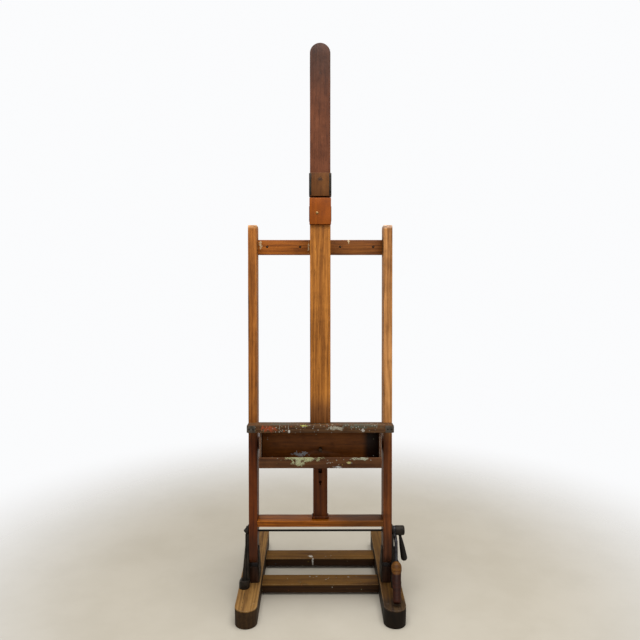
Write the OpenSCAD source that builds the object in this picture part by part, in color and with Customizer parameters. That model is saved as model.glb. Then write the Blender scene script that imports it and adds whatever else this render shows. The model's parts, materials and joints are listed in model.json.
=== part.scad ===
// H-frame studio easel: two sled runners, a tilting frame, a sliding tray with
// its mast, and an extension mast with a canvas clip. Millimetres, +Z up, the
// front is -Y. The origin is on the floor under the middle of the easel.

/* [Base] */
// overall width over the two runners
base_width = 640; // [500:1:800]
// length of each runner
runner_len = 680; // [540:1:820]
// width of each runner
runner_w = 84; // [68:1:104]
// height of each runner
runner_h = 72; // [56:1:90]
// cross rail width, front to back
rail_w = 81; // [60:1:100]
// cross rail thickness
rail_t = 36; // [28:1:44]
// gap between the floor and the cross rails
rail_lift = 10; // [4:1:20]
// front rail's front face, behind the runner tips
front_rail_y = 241; // [200:1:260]
// rear rail's front face, behind the runner tips
rear_rail_y = 461; // [420:1:520]
// height of the stub blocks above the runners
stub_h = 68; // [50:1:90]
// depth of the stub blocks, front to back
stub_d = 80; // [60:1:96]

/* [Tilting frame] */
// backward lean of the frame as it stands
lean_angle = 5.85; // [2:0.05:10]
// foot pivot, behind the runner tips
pivot_y = 215; // [200:1:250]
// foot pivot, above the runners
pivot_h = 128; // [110:1:150]
// upright width, across
upright_w = 34; // [28:1:42]
// upright depth, front to back
upright_d = 86; // [70:1:104]
// upright length above the foot pivot
upright_len = 1284; // [1000:1:1600]
// rounding of the uprights' top edges
upright_round = 17; // [8:1:24]
// upright outer face, outboard of the runner's centreline
upright_off = 1; // [0:0.5:4]
// crossbar height
crossbar_h = 59; // [45:1:72]
// crossbar thickness
crossbar_t = 22; // [18:1:26]
// top of the crossbar, below the tops of the uprights
crossbar_drop = 53; // [40:1:80]
// lower rail thickness
lower_rail_t = 24; // [18:1:30]
// underside of the lower rail, above the foot pivot
lower_rail_up = 110; // [100:1:130]
// centre post width
post_w = 56; // [46:1:66]
// centre post thickness
post_t = 34; // [28:1:38]
// centre post front face, behind the uprights' front
post_back = 26; // [24:0.5:32]
// lowest hole of the post, above the foot pivot
hole_up = 277; // [240:1:300]
// distance from hole to hole
hole_pitch = 46; // [40:1:56]
// hole that the tray stands at, counted from the lowest
tray_hole = 3; // [1:1:6]

/* [Tilt clamp] */
// tie rod diameter
rod_d = 8; // [6:0.5:10]
// tie rod above the foot pivot
rod_up = 83; // [76:0.5:90]
// width of the quadrant plates round the slot
quad_w = 38; // [34:1:48]
// width of the outer plate round its slot
stay_w = 28; // [24:1:34]
// quadrant plate thickness
quad_t = 4; // [3:0.5:5]
// furthest extra lean that the quadrant slots allow
tilt_more = 12; // [6:1:16]
// clamp boss diameter
boss_d = 38; // [34:1:46]
// clamp boss length
boss_len = 36; // [28:1:40]
// clamp handle length
handle_len = 115; // [90:1:130]
// clamp handle radius at its free end
handle_r = 13; // [9:0.5:15]
// outward splay of the clamp handle
handle_splay = 10.5; // [0:0.5:14]
// distance from the tie rod to the end of the lever's grip
lever_len = 277; // [250:1:320]
// lever arm diameter
lever_d = 13; // [9:0.5:13.5]
// length of the wooden grip
grip_len = 152; // [120:1:180]
// radius of the grip's bulb
grip_r = 20; // [15:0.5:24]
// outward splay of the lever above its bend
lever_splay = 4; // [0:0.5:6]
// inward set of the lever below its bend
lever_set = 3; // [0:0.5:5]
// iron shoe width
shoe_w = 40; // [36:1:46]
// iron shoe height
shoe_h = 32; // [26:1:44]

/* [Tray] */
// ledge thickness
ledge_t = 30; // [24:1:38]
// how far the ledge stands out from the uprights' front
ledge_out = 60; // [48:1:76]
// depth of the box below the ledge
box_h = 133; // [105:1:150]
// height of the box's front board
box_lip = 41; // [30:1:52]
// wall thickness of the box
box_wall = 8; // [6:0.5:10]
// gap between the box and each upright
box_gap = 12; // [6:1:16]
// how far the box's front board stands out from the uprights' front
box_out = 66; // [55:1:80]
// tray strap thickness
strap_t = 1.8; // [1:0.1:3]
// length of the straps along the ledge
strap_len = 32; // [30:1:44]

/* [Mast] */
// mast width
mast_w = 79.4; // [66:0.2:94]
// main mast board thickness
mast_t = 22; // [18:1:26]
// main mast length, from the ledge to the head block
mast_len = 762; // [640:1:900]
// head block height
head_h = 102; // [84:1:122]
// extension board thickness
ext_t = 18; // [14:0.5:20]
// top of the extension board, above the ledge
ext_top = 1460; // [1300:1:1700]
// length of the extension board
ext_len = 944; // [800:1:1120]
// canvas clip height
clip_h = 89; // [74:1:106]
// canvas clip, above the head block
clip_up = 6; // [2:1:200]
// how far the clip and head block stand out in front of the mast
head_out = 10; // [6:1:16]

/* [Hidden] */
$fn = 48;
fit = 0.2;        // clearance round fixed joints
slide = 0.6;      // clearance of sliding and turning pieces
bore_gap = 0.08;  // radial clearance of pivots
iron = 2.5;       // keeper and clip strap thickness
cheek_t = 3;      // pivot cheek thickness
cheek_gap = 0.4;  // gap between a cheek and the timber it holds
screw_d = 4;
bolt_d = 8;
washer_t = 3.6;
plug_d = 10;

run_x = base_width/2 - runner_w/2;            // runner centreline
up_out = run_x + upright_off;                 // upright outer face
up_in = up_out - upright_w;                   // upright inner face
pivot_z = runner_h + pivot_h;
rod_z = pivot_z + rod_up*cos(lean_angle);
stub_y = pivot_y - 10;                        // stub front face
stub_z = runner_h + stub_h;
rail_z = rail_lift + rail_t;
rail_bite = 30;                               // tenon length of the base rails
front_x = up_out + cheek_gap + cheek_t + 1;   // inner quadrant plate, inner face
shoe_x = run_x + runner_w/2 - 2 - shoe_w/2;   // shoe centreline
shoe_r = shoe_w/2;
shoe_y = 172;                                 // centre of the shoe's round front
stay_x = front_x + quad_t + 2;                // outer plate, inner face
nut_x = stay_x + quad_t + 0.4;

// lever: rests with the end of its grip just above the runner
grip_end_r = 15.5;
hub_t = 8;                                    // thickness of the lever's hub
lever_hub_x = front_x + quad_t + 0.6 + hub_t/2;
lever_hyp = sqrt(lever_len*lever_len + grip_end_r*grip_end_r);
lever_ang = atan(grip_end_r/lever_len) + acos((rod_z - runner_h - 1)/lever_hyp);
boss_x = lever_hub_x + hub_t/2 + 0.5;                   // inner face of the boss
handle_x = boss_x + boss_len*0.425;

// heights along the frame, above the foot pivot
cross_z = upright_len - crossbar_drop - crossbar_h;
rail_top = lower_rail_up + lower_rail_t;
ledge_z = hole_up + tray_hole*hole_pitch + 104;   // top of the ledge
catch_z = hole_up + tray_hole*hole_pitch;
box_z = ledge_z - ledge_t - box_h;                // underside of the box
head_z = ledge_z + mast_len;
clip_z = head_z + head_h + clip_up;
ext_z = ledge_z + ext_top;                        // top of the extension
post_top = cross_z + 36;
hole_n = 10;                                      // holes in the post, the keyhole among them

// depths behind the uprights' front face
mid = upright_d/2;
cross_d = post_back + post_t;
mast_back = 2;                                    // back of the main mast
mast_front = mast_back - mast_t;
ext_front = mast_back + slide;
ext_back = ext_front + ext_t;
thin_d = -10;                                     // front of the mast's tongue
head_front = mast_front - head_out;
keep_d = ext_back + slide;                        // keeper back plate, front face
box_back = 12;
ledge_back = -strap_t - 1.4;
box_x = up_in - box_gap;                          // outer face of the box sides
batten_d = upright_d + 1.6;
batten_t = 20;
batten_h = 50;
batten_z = catch_z - 20;
lower_keep_z = ledge_z - ledge_t - 54;
upper_keep_z = ledge_z + 316;
keep_h = 50;
tenon_w = 40;
bolt_x = -12;
bolt_z = head_z + 44;
slot_low = bolt_z - 260;

// overall centre
handle_out = handle_x + handle_len*sin(handle_splay) + handle_r;
mid_x = (handle_out - base_width/2)/2;
mid_y = runner_len/2;

wood_dark = [0.25, 0.13, 0.07];
wood_mid = [0.42, 0.24, 0.11];
wood_amber = [0.60, 0.36, 0.15];
wood_worn = [0.66, 0.50, 0.31];
wood_bright = [0.68, 0.36, 0.12];
iron_c = [0.16, 0.15, 0.15];
steel_c = [0.42, 0.45, 0.50];
strap_c = [0.50, 0.49, 0.46];

module place() translate([-mid_x, -mid_y, 0]) children();
module lean()
  place() translate([0, pivot_y, pivot_z]) rotate([-lean_angle, 0, 0]) translate([0, -mid, 0]) children();
// turn a piece drawn upwards to point right, back or front
module to_right() rotate([0, 90, 0]) children();
module to_back() rotate([-90, 0, 0]) children();
module to_front() rotate([90, 0, 0]) children();
module side(s) { if (s < 0) mirror([1, 0, 0]) children(); else children(); }
module sides() for (s = [-1, 1]) side(s) children();
// box from two corners
module bx(a, b) translate(a) cube([b[0]-a[0], b[1]-a[1], b[2]-a[2]]);
// profile drawn in depth and height, given a width along X
module across(x0, x1) translate([x0, 0, 0]) rotate([90, 0, 90]) linear_extrude(x1 - x0) children();

// slotted round-head screw, head up at z = 0, shank down
module screw(d = screw_d, len = 16, hd = 9, hh = 2.6) {
  difference() {
    union() {
      intersection() {
        translate([0, 0, hh - (hh*hh + hd*hd/4)/(2*hh)]) sphere(r = (hh*hh + hd*hd/4)/(2*hh), $fn = 48);
        cylinder(d = hd, h = hh + 1);
      }
      translate([0, 0, -len]) cylinder(d = d, h = len + 0.2);
    }
    translate([-hd, -hd*0.07, hh*0.45]) cube([2*hd, hd*0.14, hh]);
  }
}
module screw_hole(d = screw_d, len = 16)
  translate([0, 0, -len - 0.5]) cylinder(d = d + 2*fit, h = len + 1.5);
// hexagon or square head on a shank
module bolt(d, len, sides, af, hh) {
  cylinder(r = af/2/cos(180/sides), h = hh, $fn = sides);
  translate([0, 0, -len]) cylinder(d = d, h = len + 0.1);
}

// ---- base ----
rail_bolt_z = rail_lift + rail_t/2;
stub_bolt_y = [stub_y + 18, stub_y + stub_d - 18];
stub_bolt_z = runner_h + stub_h*0.5;
shoe_scr = [[shoe_x + 13, shoe_y + 36], [shoe_x + 13, shoe_y + 46]];
quad_foot_y = pivot_y + 96;

// a bolt runs through each runner into the end of each rail
rail_bolt_len = runner_w + 34;
module at_rail_bolt(y) translate([run_x + runner_w/2, y + rail_w/2, rail_bolt_z]) to_right() children();
module tenon_rail(y, grow = 0) {
  bx([-(run_x - runner_w/2) - rail_bite - grow, y + 12 - grow, rail_lift + 8 - grow],
     [(run_x - runner_w/2) + rail_bite + grow, y + rail_w - 12 + grow, rail_z - 8 + grow]);
}
module rail(y) {
  inner = run_x - runner_w/2 - fit;
  difference() {
    union() {
      bx([-inner, y, rail_lift], [inner, y + rail_w, rail_z]);
      tenon_rail(y);
    }
    sides() at_rail_bolt(y) screw_hole(bolt_d, rail_bolt_len);
  }
}
module runner() {
  difference() {
    translate([run_x, 0, 0]) linear_extrude(runner_h) {
      translate([0, runner_w/2]) circle(d = runner_w, $fn = 96);
      translate([-runner_w/2, runner_w/2]) square([runner_w, runner_len - runner_w/2]);
    }
    tenon_rail(front_rail_y, fit);
    tenon_rail(rear_rail_y, fit);
    stub_tenon(fit);
    for (y = [front_rail_y, rear_rail_y]) at_rail_bolt(y) {
      screw_hole(bolt_d, rail_bolt_len);
      translate([0, 0, -6]) cylinder(d = 22, h = 8);
    }
    for (p = shoe_scr) translate([p[0], p[1], runner_h]) screw_hole(screw_d, 22);
    at_quad_screw(0) screw_hole(screw_d, 22);
  }
}
module at_quad_screw(up) translate([front_x + 17, quad_foot_y + 2, runner_h + up]) children();
module stub_tenon(grow = 0)
  bx([up_in + 6 - grow, stub_y + 10 - grow, runner_h - 24 - grow],
     [up_out - 6 + grow, stub_y + stub_d - 10 + grow, runner_h + 1]);
module stub() {
  difference() {
    union() {
      bx([up_in, stub_y, runner_h], [up_out, stub_y + stub_d, stub_z]);
      stub_tenon();
    }
    for (y = stub_bolt_y)
      translate([up_out + 10, y, stub_bolt_z]) to_right() screw_hole(bolt_d, upright_w + 20);
  }
}
// plate from the stub up to a round eye at the foot pivot
cheek_eye_r = 24;
cheek_y0 = stub_y + 3;
cheek_y1 = stub_y + stub_d - 4;
module cheek_profile() difference() {
  union() {
    translate([pivot_y, pivot_z]) circle(r = cheek_eye_r);
    polygon([
      [pivot_y - cheek_eye_r, pivot_z], [pivot_y + cheek_eye_r, pivot_z],
      [cheek_y1, stub_bolt_z + 12], [cheek_y1, runner_h + 2], [cheek_y0, runner_h + 2]]);
  }
  translate([pivot_y, pivot_z]) circle(d = bolt_d + 2*fit, $fn = 32);
  for (y = stub_bolt_y) translate([y, stub_bolt_z]) circle(d = bolt_d + 2*fit, $fn = 32);
}
module cheeks() {
  across(up_out + cheek_gap, up_out + cheek_gap + cheek_t) cheek_profile();
  across(up_in - cheek_gap - cheek_t, up_in - cheek_gap) cheek_profile();
}
// rivet through both cheeks: square head outside, low round head inside
module through_rivet(y, z) {
  outer = up_out + cheek_gap + cheek_t;
  inner = up_in - cheek_gap - cheek_t;
  translate([outer, y, z]) to_right() bolt(bolt_d, outer - inner, 4, 13, 5);
  translate([inner, y, z]) rotate([0, -90, 0]) cylinder(d1 = 14, d2 = 10, h = 1.6);
}

// quadrant: slotted arc round the foot pivot, in depth and height
function arc_pt(a, r) = [pivot_y + r*sin(a), pivot_z + r*cos(a)];
slot_r = rod_d/2 + slide;
a0 = lean_angle;
a1 = lean_angle + tilt_more;
head_a0 = a0 - 5;
head_a1 = a1 + 9;
module wedge(b0, b1, r) {
  polygon(concat([[pivot_y, pivot_z]], [for (i = [0:12]) arc_pt(b0 + (b1 - b0)*i/12, r)]));
}
module quad_head(w) difference() {
  union() {
    intersection() {
      difference() {
        translate([pivot_y, pivot_z]) circle(r = rod_up + w/2, $fn = 128);
        translate([pivot_y, pivot_z]) circle(r = rod_up - w/2, $fn = 96);
      }
      wedge(head_a0, head_a1, 2*(rod_up + w));
    }
    translate(arc_pt(head_a0, rod_up)) circle(d = w);
    translate(arc_pt(head_a1, rod_up)) circle(d = w);
  }
  quad_slot();
}
module quad_slot() {
  intersection() {
    difference() {
      translate([pivot_y, pivot_z]) circle(r = rod_up + slot_r, $fn = 128);
      translate([pivot_y, pivot_z]) circle(r = rod_up - slot_r, $fn = 128);
    }
    wedge(a0, a1, 2*(rod_up + quad_w));
  }
  translate(arc_pt(a0, rod_up)) circle(r = slot_r);
  translate(arc_pt(a1, rod_up)) circle(r = slot_r);
}
// bar from point p to point q in depth and height
module bar2(p, q, w) {
  v = q - p;
  translate(p) rotate(atan2(v[1], v[0])) translate([0, -w/2]) square([norm(v), w]);
}
leg_w = 21;
leg_top = arc_pt(head_a0 - 10, rod_up - 4);
leg_low = [shoe_y, runner_h + 12];
rear_top = arc_pt(head_a1 + 2, rod_up - 6);
rear_low = [quad_foot_y, runner_h + 4];
rib_shift = [-6, 1];
rib_low = leg_top + (leg_low - leg_top)*0.86;
module quadrant(outer_rib) {
  across(front_x, front_x + quad_t) difference() {
    union() {
      quad_head(quad_w);
      bar2(leg_top, leg_low, leg_w);
      bar2(rear_top, rear_low, 20);
      translate([quad_foot_y - 12, runner_h]) square([26, 12]);
    }
    quad_slot();
    translate([quad_foot_y - 60, runner_h - 20]) square([120, 20]);
  }
  // stiffening rib along the front edge of the leg, on the side of the upright
  across(up_out + 0.6, front_x + 0.1) bar2(leg_top + rib_shift, rib_low + rib_shift, 9);
  // a second rib outside, below the lever
  if (outer_rib)
    across(front_x + quad_t - 0.1, front_x + quad_t + 4.5)
      bar2(leg_top + (leg_low - leg_top)*0.26, rib_low, leg_w - 3);
  // foot turned outwards, flat on the runner
  difference() {
    bx([front_x + 0.1, quad_foot_y - 12, runner_h], [front_x + 28, quad_foot_y + 14, runner_h + quad_t]);
    at_quad_screw(quad_t) screw_hole(screw_d, 16);
  }
}
// outer plate on the left: below the head its leg widens outwards to the shoe
stay_bend = leg_top + (leg_low - leg_top)*0.2;
stay_drop = stay_bend[1] - leg_low[1];
stay_pitch = atan((stay_bend[0] - leg_low[0])/stay_drop);
stay_leg_len = stay_drop/cos(stay_pitch);
stay_foot_t = shoe_x + 9.5 - stay_x;               // width of the leg where it enters the shoe
module stay_leg(grow = 0) {
  translate([0, stay_bend[0], stay_bend[1]]) rotate([-stay_pitch, 0, 0]) rotate([90, 0, 0])
    translate([0, 0, -leg_w/2 - grow]) linear_extrude(leg_w + 2*grow) polygon([
      [stay_x - grow, 0], [stay_x + quad_t + grow, 0],
      [stay_x + stay_foot_t + grow, -stay_leg_len - grow], [stay_x - grow, -stay_leg_len - grow]]);
}
module stay() {
  difference() {
    union() {
      across(stay_x, stay_x + quad_t) {
        quad_head(stay_w);
        bar2(leg_top, stay_bend + (leg_low - leg_top)*0.008, leg_w);
      }
      stay_leg();
    }
    across(stay_x - 20, stay_x + 30) quad_slot();
  }
}
// the shoe's outer top edge is cut down at a slope
module shoe_section()
  translate([shoe_x, shoe_y + 60, runner_h]) to_front() linear_extrude(120) polygon([
    [-shoe_r - 1, -1], [shoe_r + 1, -1], [shoe_r + 1, shoe_h - 13], [shoe_r - 8, shoe_h + 1],
    [-shoe_r - 1, shoe_h + 1]]);
module shoe(with_stay) {
  difference() {
    union() {
      intersection() {
        translate([0, 0, runner_h]) linear_extrude(shoe_h) {
          translate([shoe_x, shoe_y]) circle(r = shoe_r, $fn = 64);
          translate([shoe_x - shoe_r, shoe_y]) square([shoe_w, 18]);
        }
        shoe_section();
      }
      bx([shoe_x + 2, shoe_y + 17, runner_h], [shoe_x + shoe_r, shoe_y + 54, runner_h + 7]);
    }
    across(front_x - fit, front_x + quad_t + fit)
      bar2(leg_top, leg_low + (leg_low - leg_top)*0.004, leg_w + 2*fit);
    if (with_stay) stay_leg(fit);
    for (p = shoe_scr) translate([p[0], p[1], runner_h + 7]) screw_hole(screw_d, 12);
  }
}

// ---- tilting frame (depth from the uprights' front, height above the foot pivot) ----
rail_scr_d = [24, upright_d - 24];
module upright() {
  difference() {
    across(up_in, up_out) {
      translate([mid, 0]) circle(d = upright_d, $fn = 96);
      square([upright_d, upright_len - upright_round]);
      translate([upright_round, 0]) square([upright_d - 2*upright_round, upright_len]);
      for (y = [upright_round, upright_d - upright_round])
        translate([y, upright_len - upright_round]) circle(r = upright_round);
    }
    // foot pivot and tie rod bores
    translate([up_in - 5, mid, 0]) to_right() cylinder(d = bolt_d + 2*bore_gap, h = upright_w + 10);
    translate([up_in - 5, mid, rod_up]) to_right() cylinder(d = rod_d + 2*fit, h = upright_w + 10);
    // mortises for the crossbar and the lower rail
    cross_tenon(fit);
    rail_tenon(fit);
    at_rail_screws() screw_hole(5, 60);
  }
}
module at_rail_screws()
  for (d = rail_scr_d) translate([up_out, d, lower_rail_up + lower_rail_t/2]) to_right() children();
module cross_tenon(grow = 0)
  bx([up_in - 1, cross_d - grow, cross_z + 6 - grow],
     [up_in + 22 + grow, cross_d + crossbar_t + grow, cross_z + crossbar_h - 6 + grow]);
module rail_tenon(grow = 0)
  bx([up_in - 1, 10 - grow, lower_rail_up + 5 - grow],
     [up_in + 20 + grow, upright_d - 10 + grow, rail_top - 5 + grow]);
cross_scr_z = cross_z + crossbar_h*0.53;
cross_scr_x = [mast_w/2 + 39, up_in - 36];
module at_cross_screws(d)
  sides() for (x = cross_scr_x) translate([x, d, cross_scr_z]) to_front() children();
// two screws from the back hold the post to the crossbar
module at_post_screws()
  for (z = [cross_z + 12, cross_z + 27]) translate([0, cross_d + crossbar_t, z]) to_back() children();
module crossbar() {
  difference() {
    union() {
      bx([-up_in + fit, cross_d, cross_z], [up_in - fit, cross_d + crossbar_t, cross_z + crossbar_h]);
      sides() cross_tenon();
    }
    at_cross_screws(cross_d) {
      translate([0, 0, -3]) cylinder(d = plug_d + 1, h = 4);
      screw_hole(screw_d, 17);
    }
    at_post_screws() screw_hole(screw_d, 40);
  }
}
module lower_rail() {
  difference() {
    union() {
      bx([-up_in + fit, 0, lower_rail_up], [up_in - fit, upright_d, rail_top]);
      sides() rail_tenon();
    }
    post_tenon(fit);
    sides() at_rail_screws() screw_hole(5, 60);
  }
}
module post_tenon(grow = 0)
  bx([-tenon_w/2 - grow, post_back + 8 - grow, lower_rail_up + 4 - grow],
     [tenon_w/2 + grow, post_back + post_t - 8 + grow, rail_top + 1]);
hole_deep = 24;
module post() {
  difference() {
    union() {
      bx([-post_w/2, post_back, rail_top], [post_w/2, post_back + post_t, post_top]);
      post_tenon();
    }
    // a keyhole lowest, square catch holes above it
    translate([0, post_back - 1, hole_up + 3]) to_back() cylinder(d = 12, h = hole_deep + 1);
    bx([-2.5, post_back - 1, hole_up - 10], [2.5, post_back + hole_deep, hole_up]);
    for (i = [1:hole_n - 1]) translate([0, post_back - 1, hole_up + i*hole_pitch])
      bx([-7.5, 0, -8], [7.5, hole_deep + 1, 8]);
    at_post_screws() screw_hole(screw_d, 40);
  }
}
plinth_h = 11;
module plinth() {
  difference() {
    bx([-post_w/2 - 5, post_back - 5, rail_top + fit],
       [post_w/2 + 5, post_back + post_t + 5, rail_top + plinth_h]);
    bx([-post_w/2 - fit, post_back - fit, rail_top - 1],
       [post_w/2 + fit, post_back + post_t + fit, rail_top + plinth_h + 1]);
  }
}
nut_r = 10.5;                                     // centre to corner
nut_t = 5.6;
rod_left = -(nut_x + nut_t + 2.6);
rod_right = boss_x + boss_len - 0.6;
module rod()
  translate([rod_left, mid, rod_up]) to_right() cylinder(d = rod_d, h = rod_right - rod_left);
// square nut standing on one corner, its outer corners turned away to a cone
module rod_nut() translate([-nut_x, mid, rod_up]) rotate([0, -90, 0]) difference() {
  intersection() {
    cylinder(r = nut_r, h = nut_t, $fn = 4);
    rotate_extrude($fn = 64)
      polygon([[0, 0], [nut_r + 1, 0], [nut_r + 1, 1], [nut_r - 5, nut_t], [0, nut_t]]);
  }
  translate([0, 0, -1]) cylinder(d = rod_d + 2*fit, h = nut_t + 2);
}
module washer(x) translate([x, mid, rod_up]) to_right() difference() {
  cylinder(d = 26, h = washer_t);
  translate([0, 0, -1]) cylinder(d = rod_d + 2*fit, h = washer_t + 2);
}

// ---- clamp and lever on the tie rod ----
boss_r = boss_d/2;
peg_r = 5;                                        // the handle's peg in the boss
taper_len = handle_len - boss_r - 2.5;
handle_top = boss_r + 2.5;                        // where the handle's taper starts, below the rod
module boss() difference() {
  translate([boss_x, mid, rod_up]) to_right() difference() {
    rotate_extrude($fn = 96) polygon([
      [0, 0], [boss_r - 1.5, 0], [boss_r, 1.5], [boss_r, boss_len - 5],
      [boss_r - 1.5, boss_len - 1.5], [boss_r - 5, boss_len], [0, boss_len]]);
    translate([0, 0, -1]) cylinder(d = rod_d + 2*bore_gap, h = boss_len + 2);
  }
  // socket for the handle, which hangs plumb
  hang() rotate([180, 0, 0]) translate([0, 0, boss_r - 9]) cylinder(r = peg_r + fit, h = 30);
}
// hangs straight down although the frame leans
module hang()
  translate([handle_x, mid, rod_up]) rotate([lean_angle, 0, 0]) rotate([0, -handle_splay, 0]) children();
module handle() hang() rotate([180, 0, 0]) {
  translate([0, 0, boss_r - 8.6]) cylinder(r = peg_r, h = 12);
  translate([0, 0, handle_top]) rotate_extrude($fn = 64) polygon([
    [0, 0], [6.4, 0], [5.7, 4], [handle_r*0.72, taper_len*0.4], [handle_r*0.9, taper_len*0.74],
    [handle_r, taper_len], [0, taper_len]]);
  translate([0, 0, handle_len]) sphere(r = handle_r);
}
bend = 46;                                        // rod to the bend of the lever
// lever axis: local -Z runs down the lever, turned to the world's plumb line first
module lever_place()
  translate([lever_hub_x, mid, rod_up]) rotate([lean_angle, 0, 0]) rotate([-lever_ang, 0, 0]) children();
neck = boss_r + 2.6;                              // rod to the start of the round arm
neck_out = 2.5;
neck_w = 16;
module above_bend() translate([neck_out, 0, -neck]) rotate([0, -lever_splay, 0]) children();
module below_bend()
  translate([neck_out + (bend - neck)*tan(lever_splay), 0, -bend]) rotate([0, lever_set, 0]) children();
arm_len = lever_len - bend - grip_len;
grip_bore = 61;                                   // depth that the arm reaches into the grip
module arm() lever_place() difference() {
  union() {
    to_right() translate([0, 0, -hub_t/2]) cylinder(d = boss_d - 2, h = hub_t);
    bx([-hub_t/2, -neck_w/2, -neck - 5], [hub_t/2, neck_w/2, 0]);
    above_bend() translate([0, 0, neck - bend]) cylinder(d = lever_d, h = bend - neck);
    below_bend() sphere(d = lever_d + 1.2);
    below_bend() translate([0, 0, 1 - arm_len - grip_bore])
      cylinder(d = lever_d, h = arm_len + grip_bore - 1);
  }
  to_right() translate([0, 0, -20]) cylinder(d = rod_d + 2*bore_gap, h = 40);
}
module ferrule() lever_place() below_bend() translate([0, 0, -arm_len]) difference() {
  cylinder(d1 = 22, d2 = 18, h = 6);
  translate([0, 0, -1]) cylinder(d = lever_d + 2*fit, h = 8);
}
grip_profile = [
  [0, 0], [12, 0], [15.5, 4], [18.6, 11], [grip_r, 20], [grip_r, 27], [19, 34], [17.6, 41], [17.2, 52],
  [16.6, 80], [15.6, 108], [15.2, 126], [grip_end_r, grip_len - 9], [grip_end_r, grip_len - 3],
  [grip_end_r - 3, grip_len], [0, grip_len]];
module grip() lever_place() below_bend() translate([0, 0, -arm_len - fit]) difference() {
  rotate([180, 0, 0]) rotate_extrude($fn = 72) polygon(grip_profile);
  translate([0, 0, -grip_bore]) cylinder(d = lever_d + 2*fit, h = grip_bore + 1);
}

// ---- tray and main mast ----
module ledge() {
  half = up_out - strap_t - 0.6;
  difference() {
    union() {
      bx([-half, -ledge_out, ledge_z - ledge_t], [half, ledge_back, ledge_z]);
      bx([-up_in + 5, ledge_back - 1, ledge_z - ledge_t], [up_in - 5, box_back, ledge_z]);
    }
    mast_tenon(fit);
    strap_screw_holes();
  }
}
module mast_tenon(grow = 0)
  bx([-mast_w/2 + 10 - grow, mast_front + 4 - grow, ledge_z - 22 - grow],
     [mast_w/2 - 10 + grow, mast_back - 4 + grow, ledge_z + 1]);
strap_z0 = ledge_z - ledge_t + 2;
strap_z1 = ledge_z - 2;
strap_back_len = 34;
module strap() {
  difference() {
    union() {
      bx([up_out - strap_len, -ledge_out - strap_t, strap_z0], [up_out, -ledge_out, strap_z1]);
      bx([up_out - strap_t, -ledge_out - strap_t, strap_z0], [up_out, ledge_back + strap_t, strap_z1]);
      bx([up_out - strap_back_len, ledge_back, strap_z0], [up_out, ledge_back + strap_t, strap_z1]);
    }
    strap_screw_holes();
  }
}
module strap_at()
  for (dx = [9, strap_len - 8])
    translate([up_out - dx, -ledge_out - strap_t, ledge_z - ledge_t/2]) to_front() children();
module strap_screw_holes() sides() strap_at() screw_hole(screw_d, 18);

lip_top = box_z + box_lip;
board_d = -box_out + box_wall + fit;              // back of the front board
floor_z = box_z + box_wall + fit;                 // top of the floor board
lid_z = ledge_z - ledge_t - fit;                  // underside of the ledge
// sloping front edge, and a tail that runs back between the uprights to the rear batten
module box_side() across(box_x - box_wall, box_x) polygon([
  [board_d, floor_z], [board_d, lip_top], [10 - ledge_out, lid_z], [box_back, lid_z],
  [box_back, batten_z + batten_h], [batten_d - fit, batten_z + batten_h], [batten_d - fit, batten_z],
  [box_back, batten_z], [box_back, floor_z]]);
module box_bottom() bx([-box_x, board_d, box_z], [box_x, box_back, box_z + box_wall]);
module box_front() bx([-box_x, -box_out, box_z], [box_x, -box_out + box_wall, lip_top]);
module box_back() {
  difference() {
    bx([-box_x + box_wall + fit, box_back - box_wall, floor_z], [box_x - box_wall - fit, box_back, lid_z]);
    translate([0, box_back - box_wall - 1, catch_z]) to_back() cylinder(d = 14, h = box_wall + 2);
  }
}
module rear_batten() difference() {
  bx([-up_out + 4, batten_d, batten_z], [up_out - 4, batten_d + batten_t, batten_z + batten_h]);
  sides() for (z = [batten_z + 13, batten_z + batten_h - 13])
    translate([box_x - box_wall/2, batten_d + batten_t, z]) to_back() screw_hole(screw_d, 45);
}
module catch_plate() translate([0, box_back, catch_z]) to_back() difference() {
  translate([-18, -14, 0]) cube([36, 28, 3]);
  translate([0, 0, -1]) cylinder(d = 10 + 2*bore_gap, h = 6);
}
// plunger drawn back until it just clears the post
pin_start = box_back - box_wall - 18;
module catch_pin() translate([0, 0, catch_z]) to_back() {
  translate([0, 0, pin_start]) cylinder(d = 10, h = post_back - slide - pin_start);
  translate([0, 0, pin_start - 6]) rotate_extrude()
    polygon([[0, -4], [5.5, -4], [7, -2], [7, 2], [5, 7], [0, 7]]);
}
module guide_block(z, d0) difference() {
  bx([-post_w/2, d0, z], [post_w/2, post_back - slide, z + keep_h]);
  sides() translate([post_w/2 + fit + iron, post_back - 6, z + keep_h/2]) to_right() screw_hole(3.5, 16);
}
module keeper(z) {
  k = post_w/2 + slide;
  difference() {
    bx([-k - iron, post_back - 12, z], [k + iron, post_back + post_t + slide + iron, z + keep_h]);
    bx([-k, post_back - 13, z - 1], [k, post_back + post_t + slide, z + keep_h + 1]);
    sides() translate([k + iron, post_back - 6, z + keep_h/2]) to_right() screw_hole(3.5, 16);
  }
}
module keeper_screw(z)
  sides() translate([post_w/2 + slide + iron, post_back - 6, z + keep_h/2]) to_right() screw(3.5, 15, 7, 2);

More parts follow.
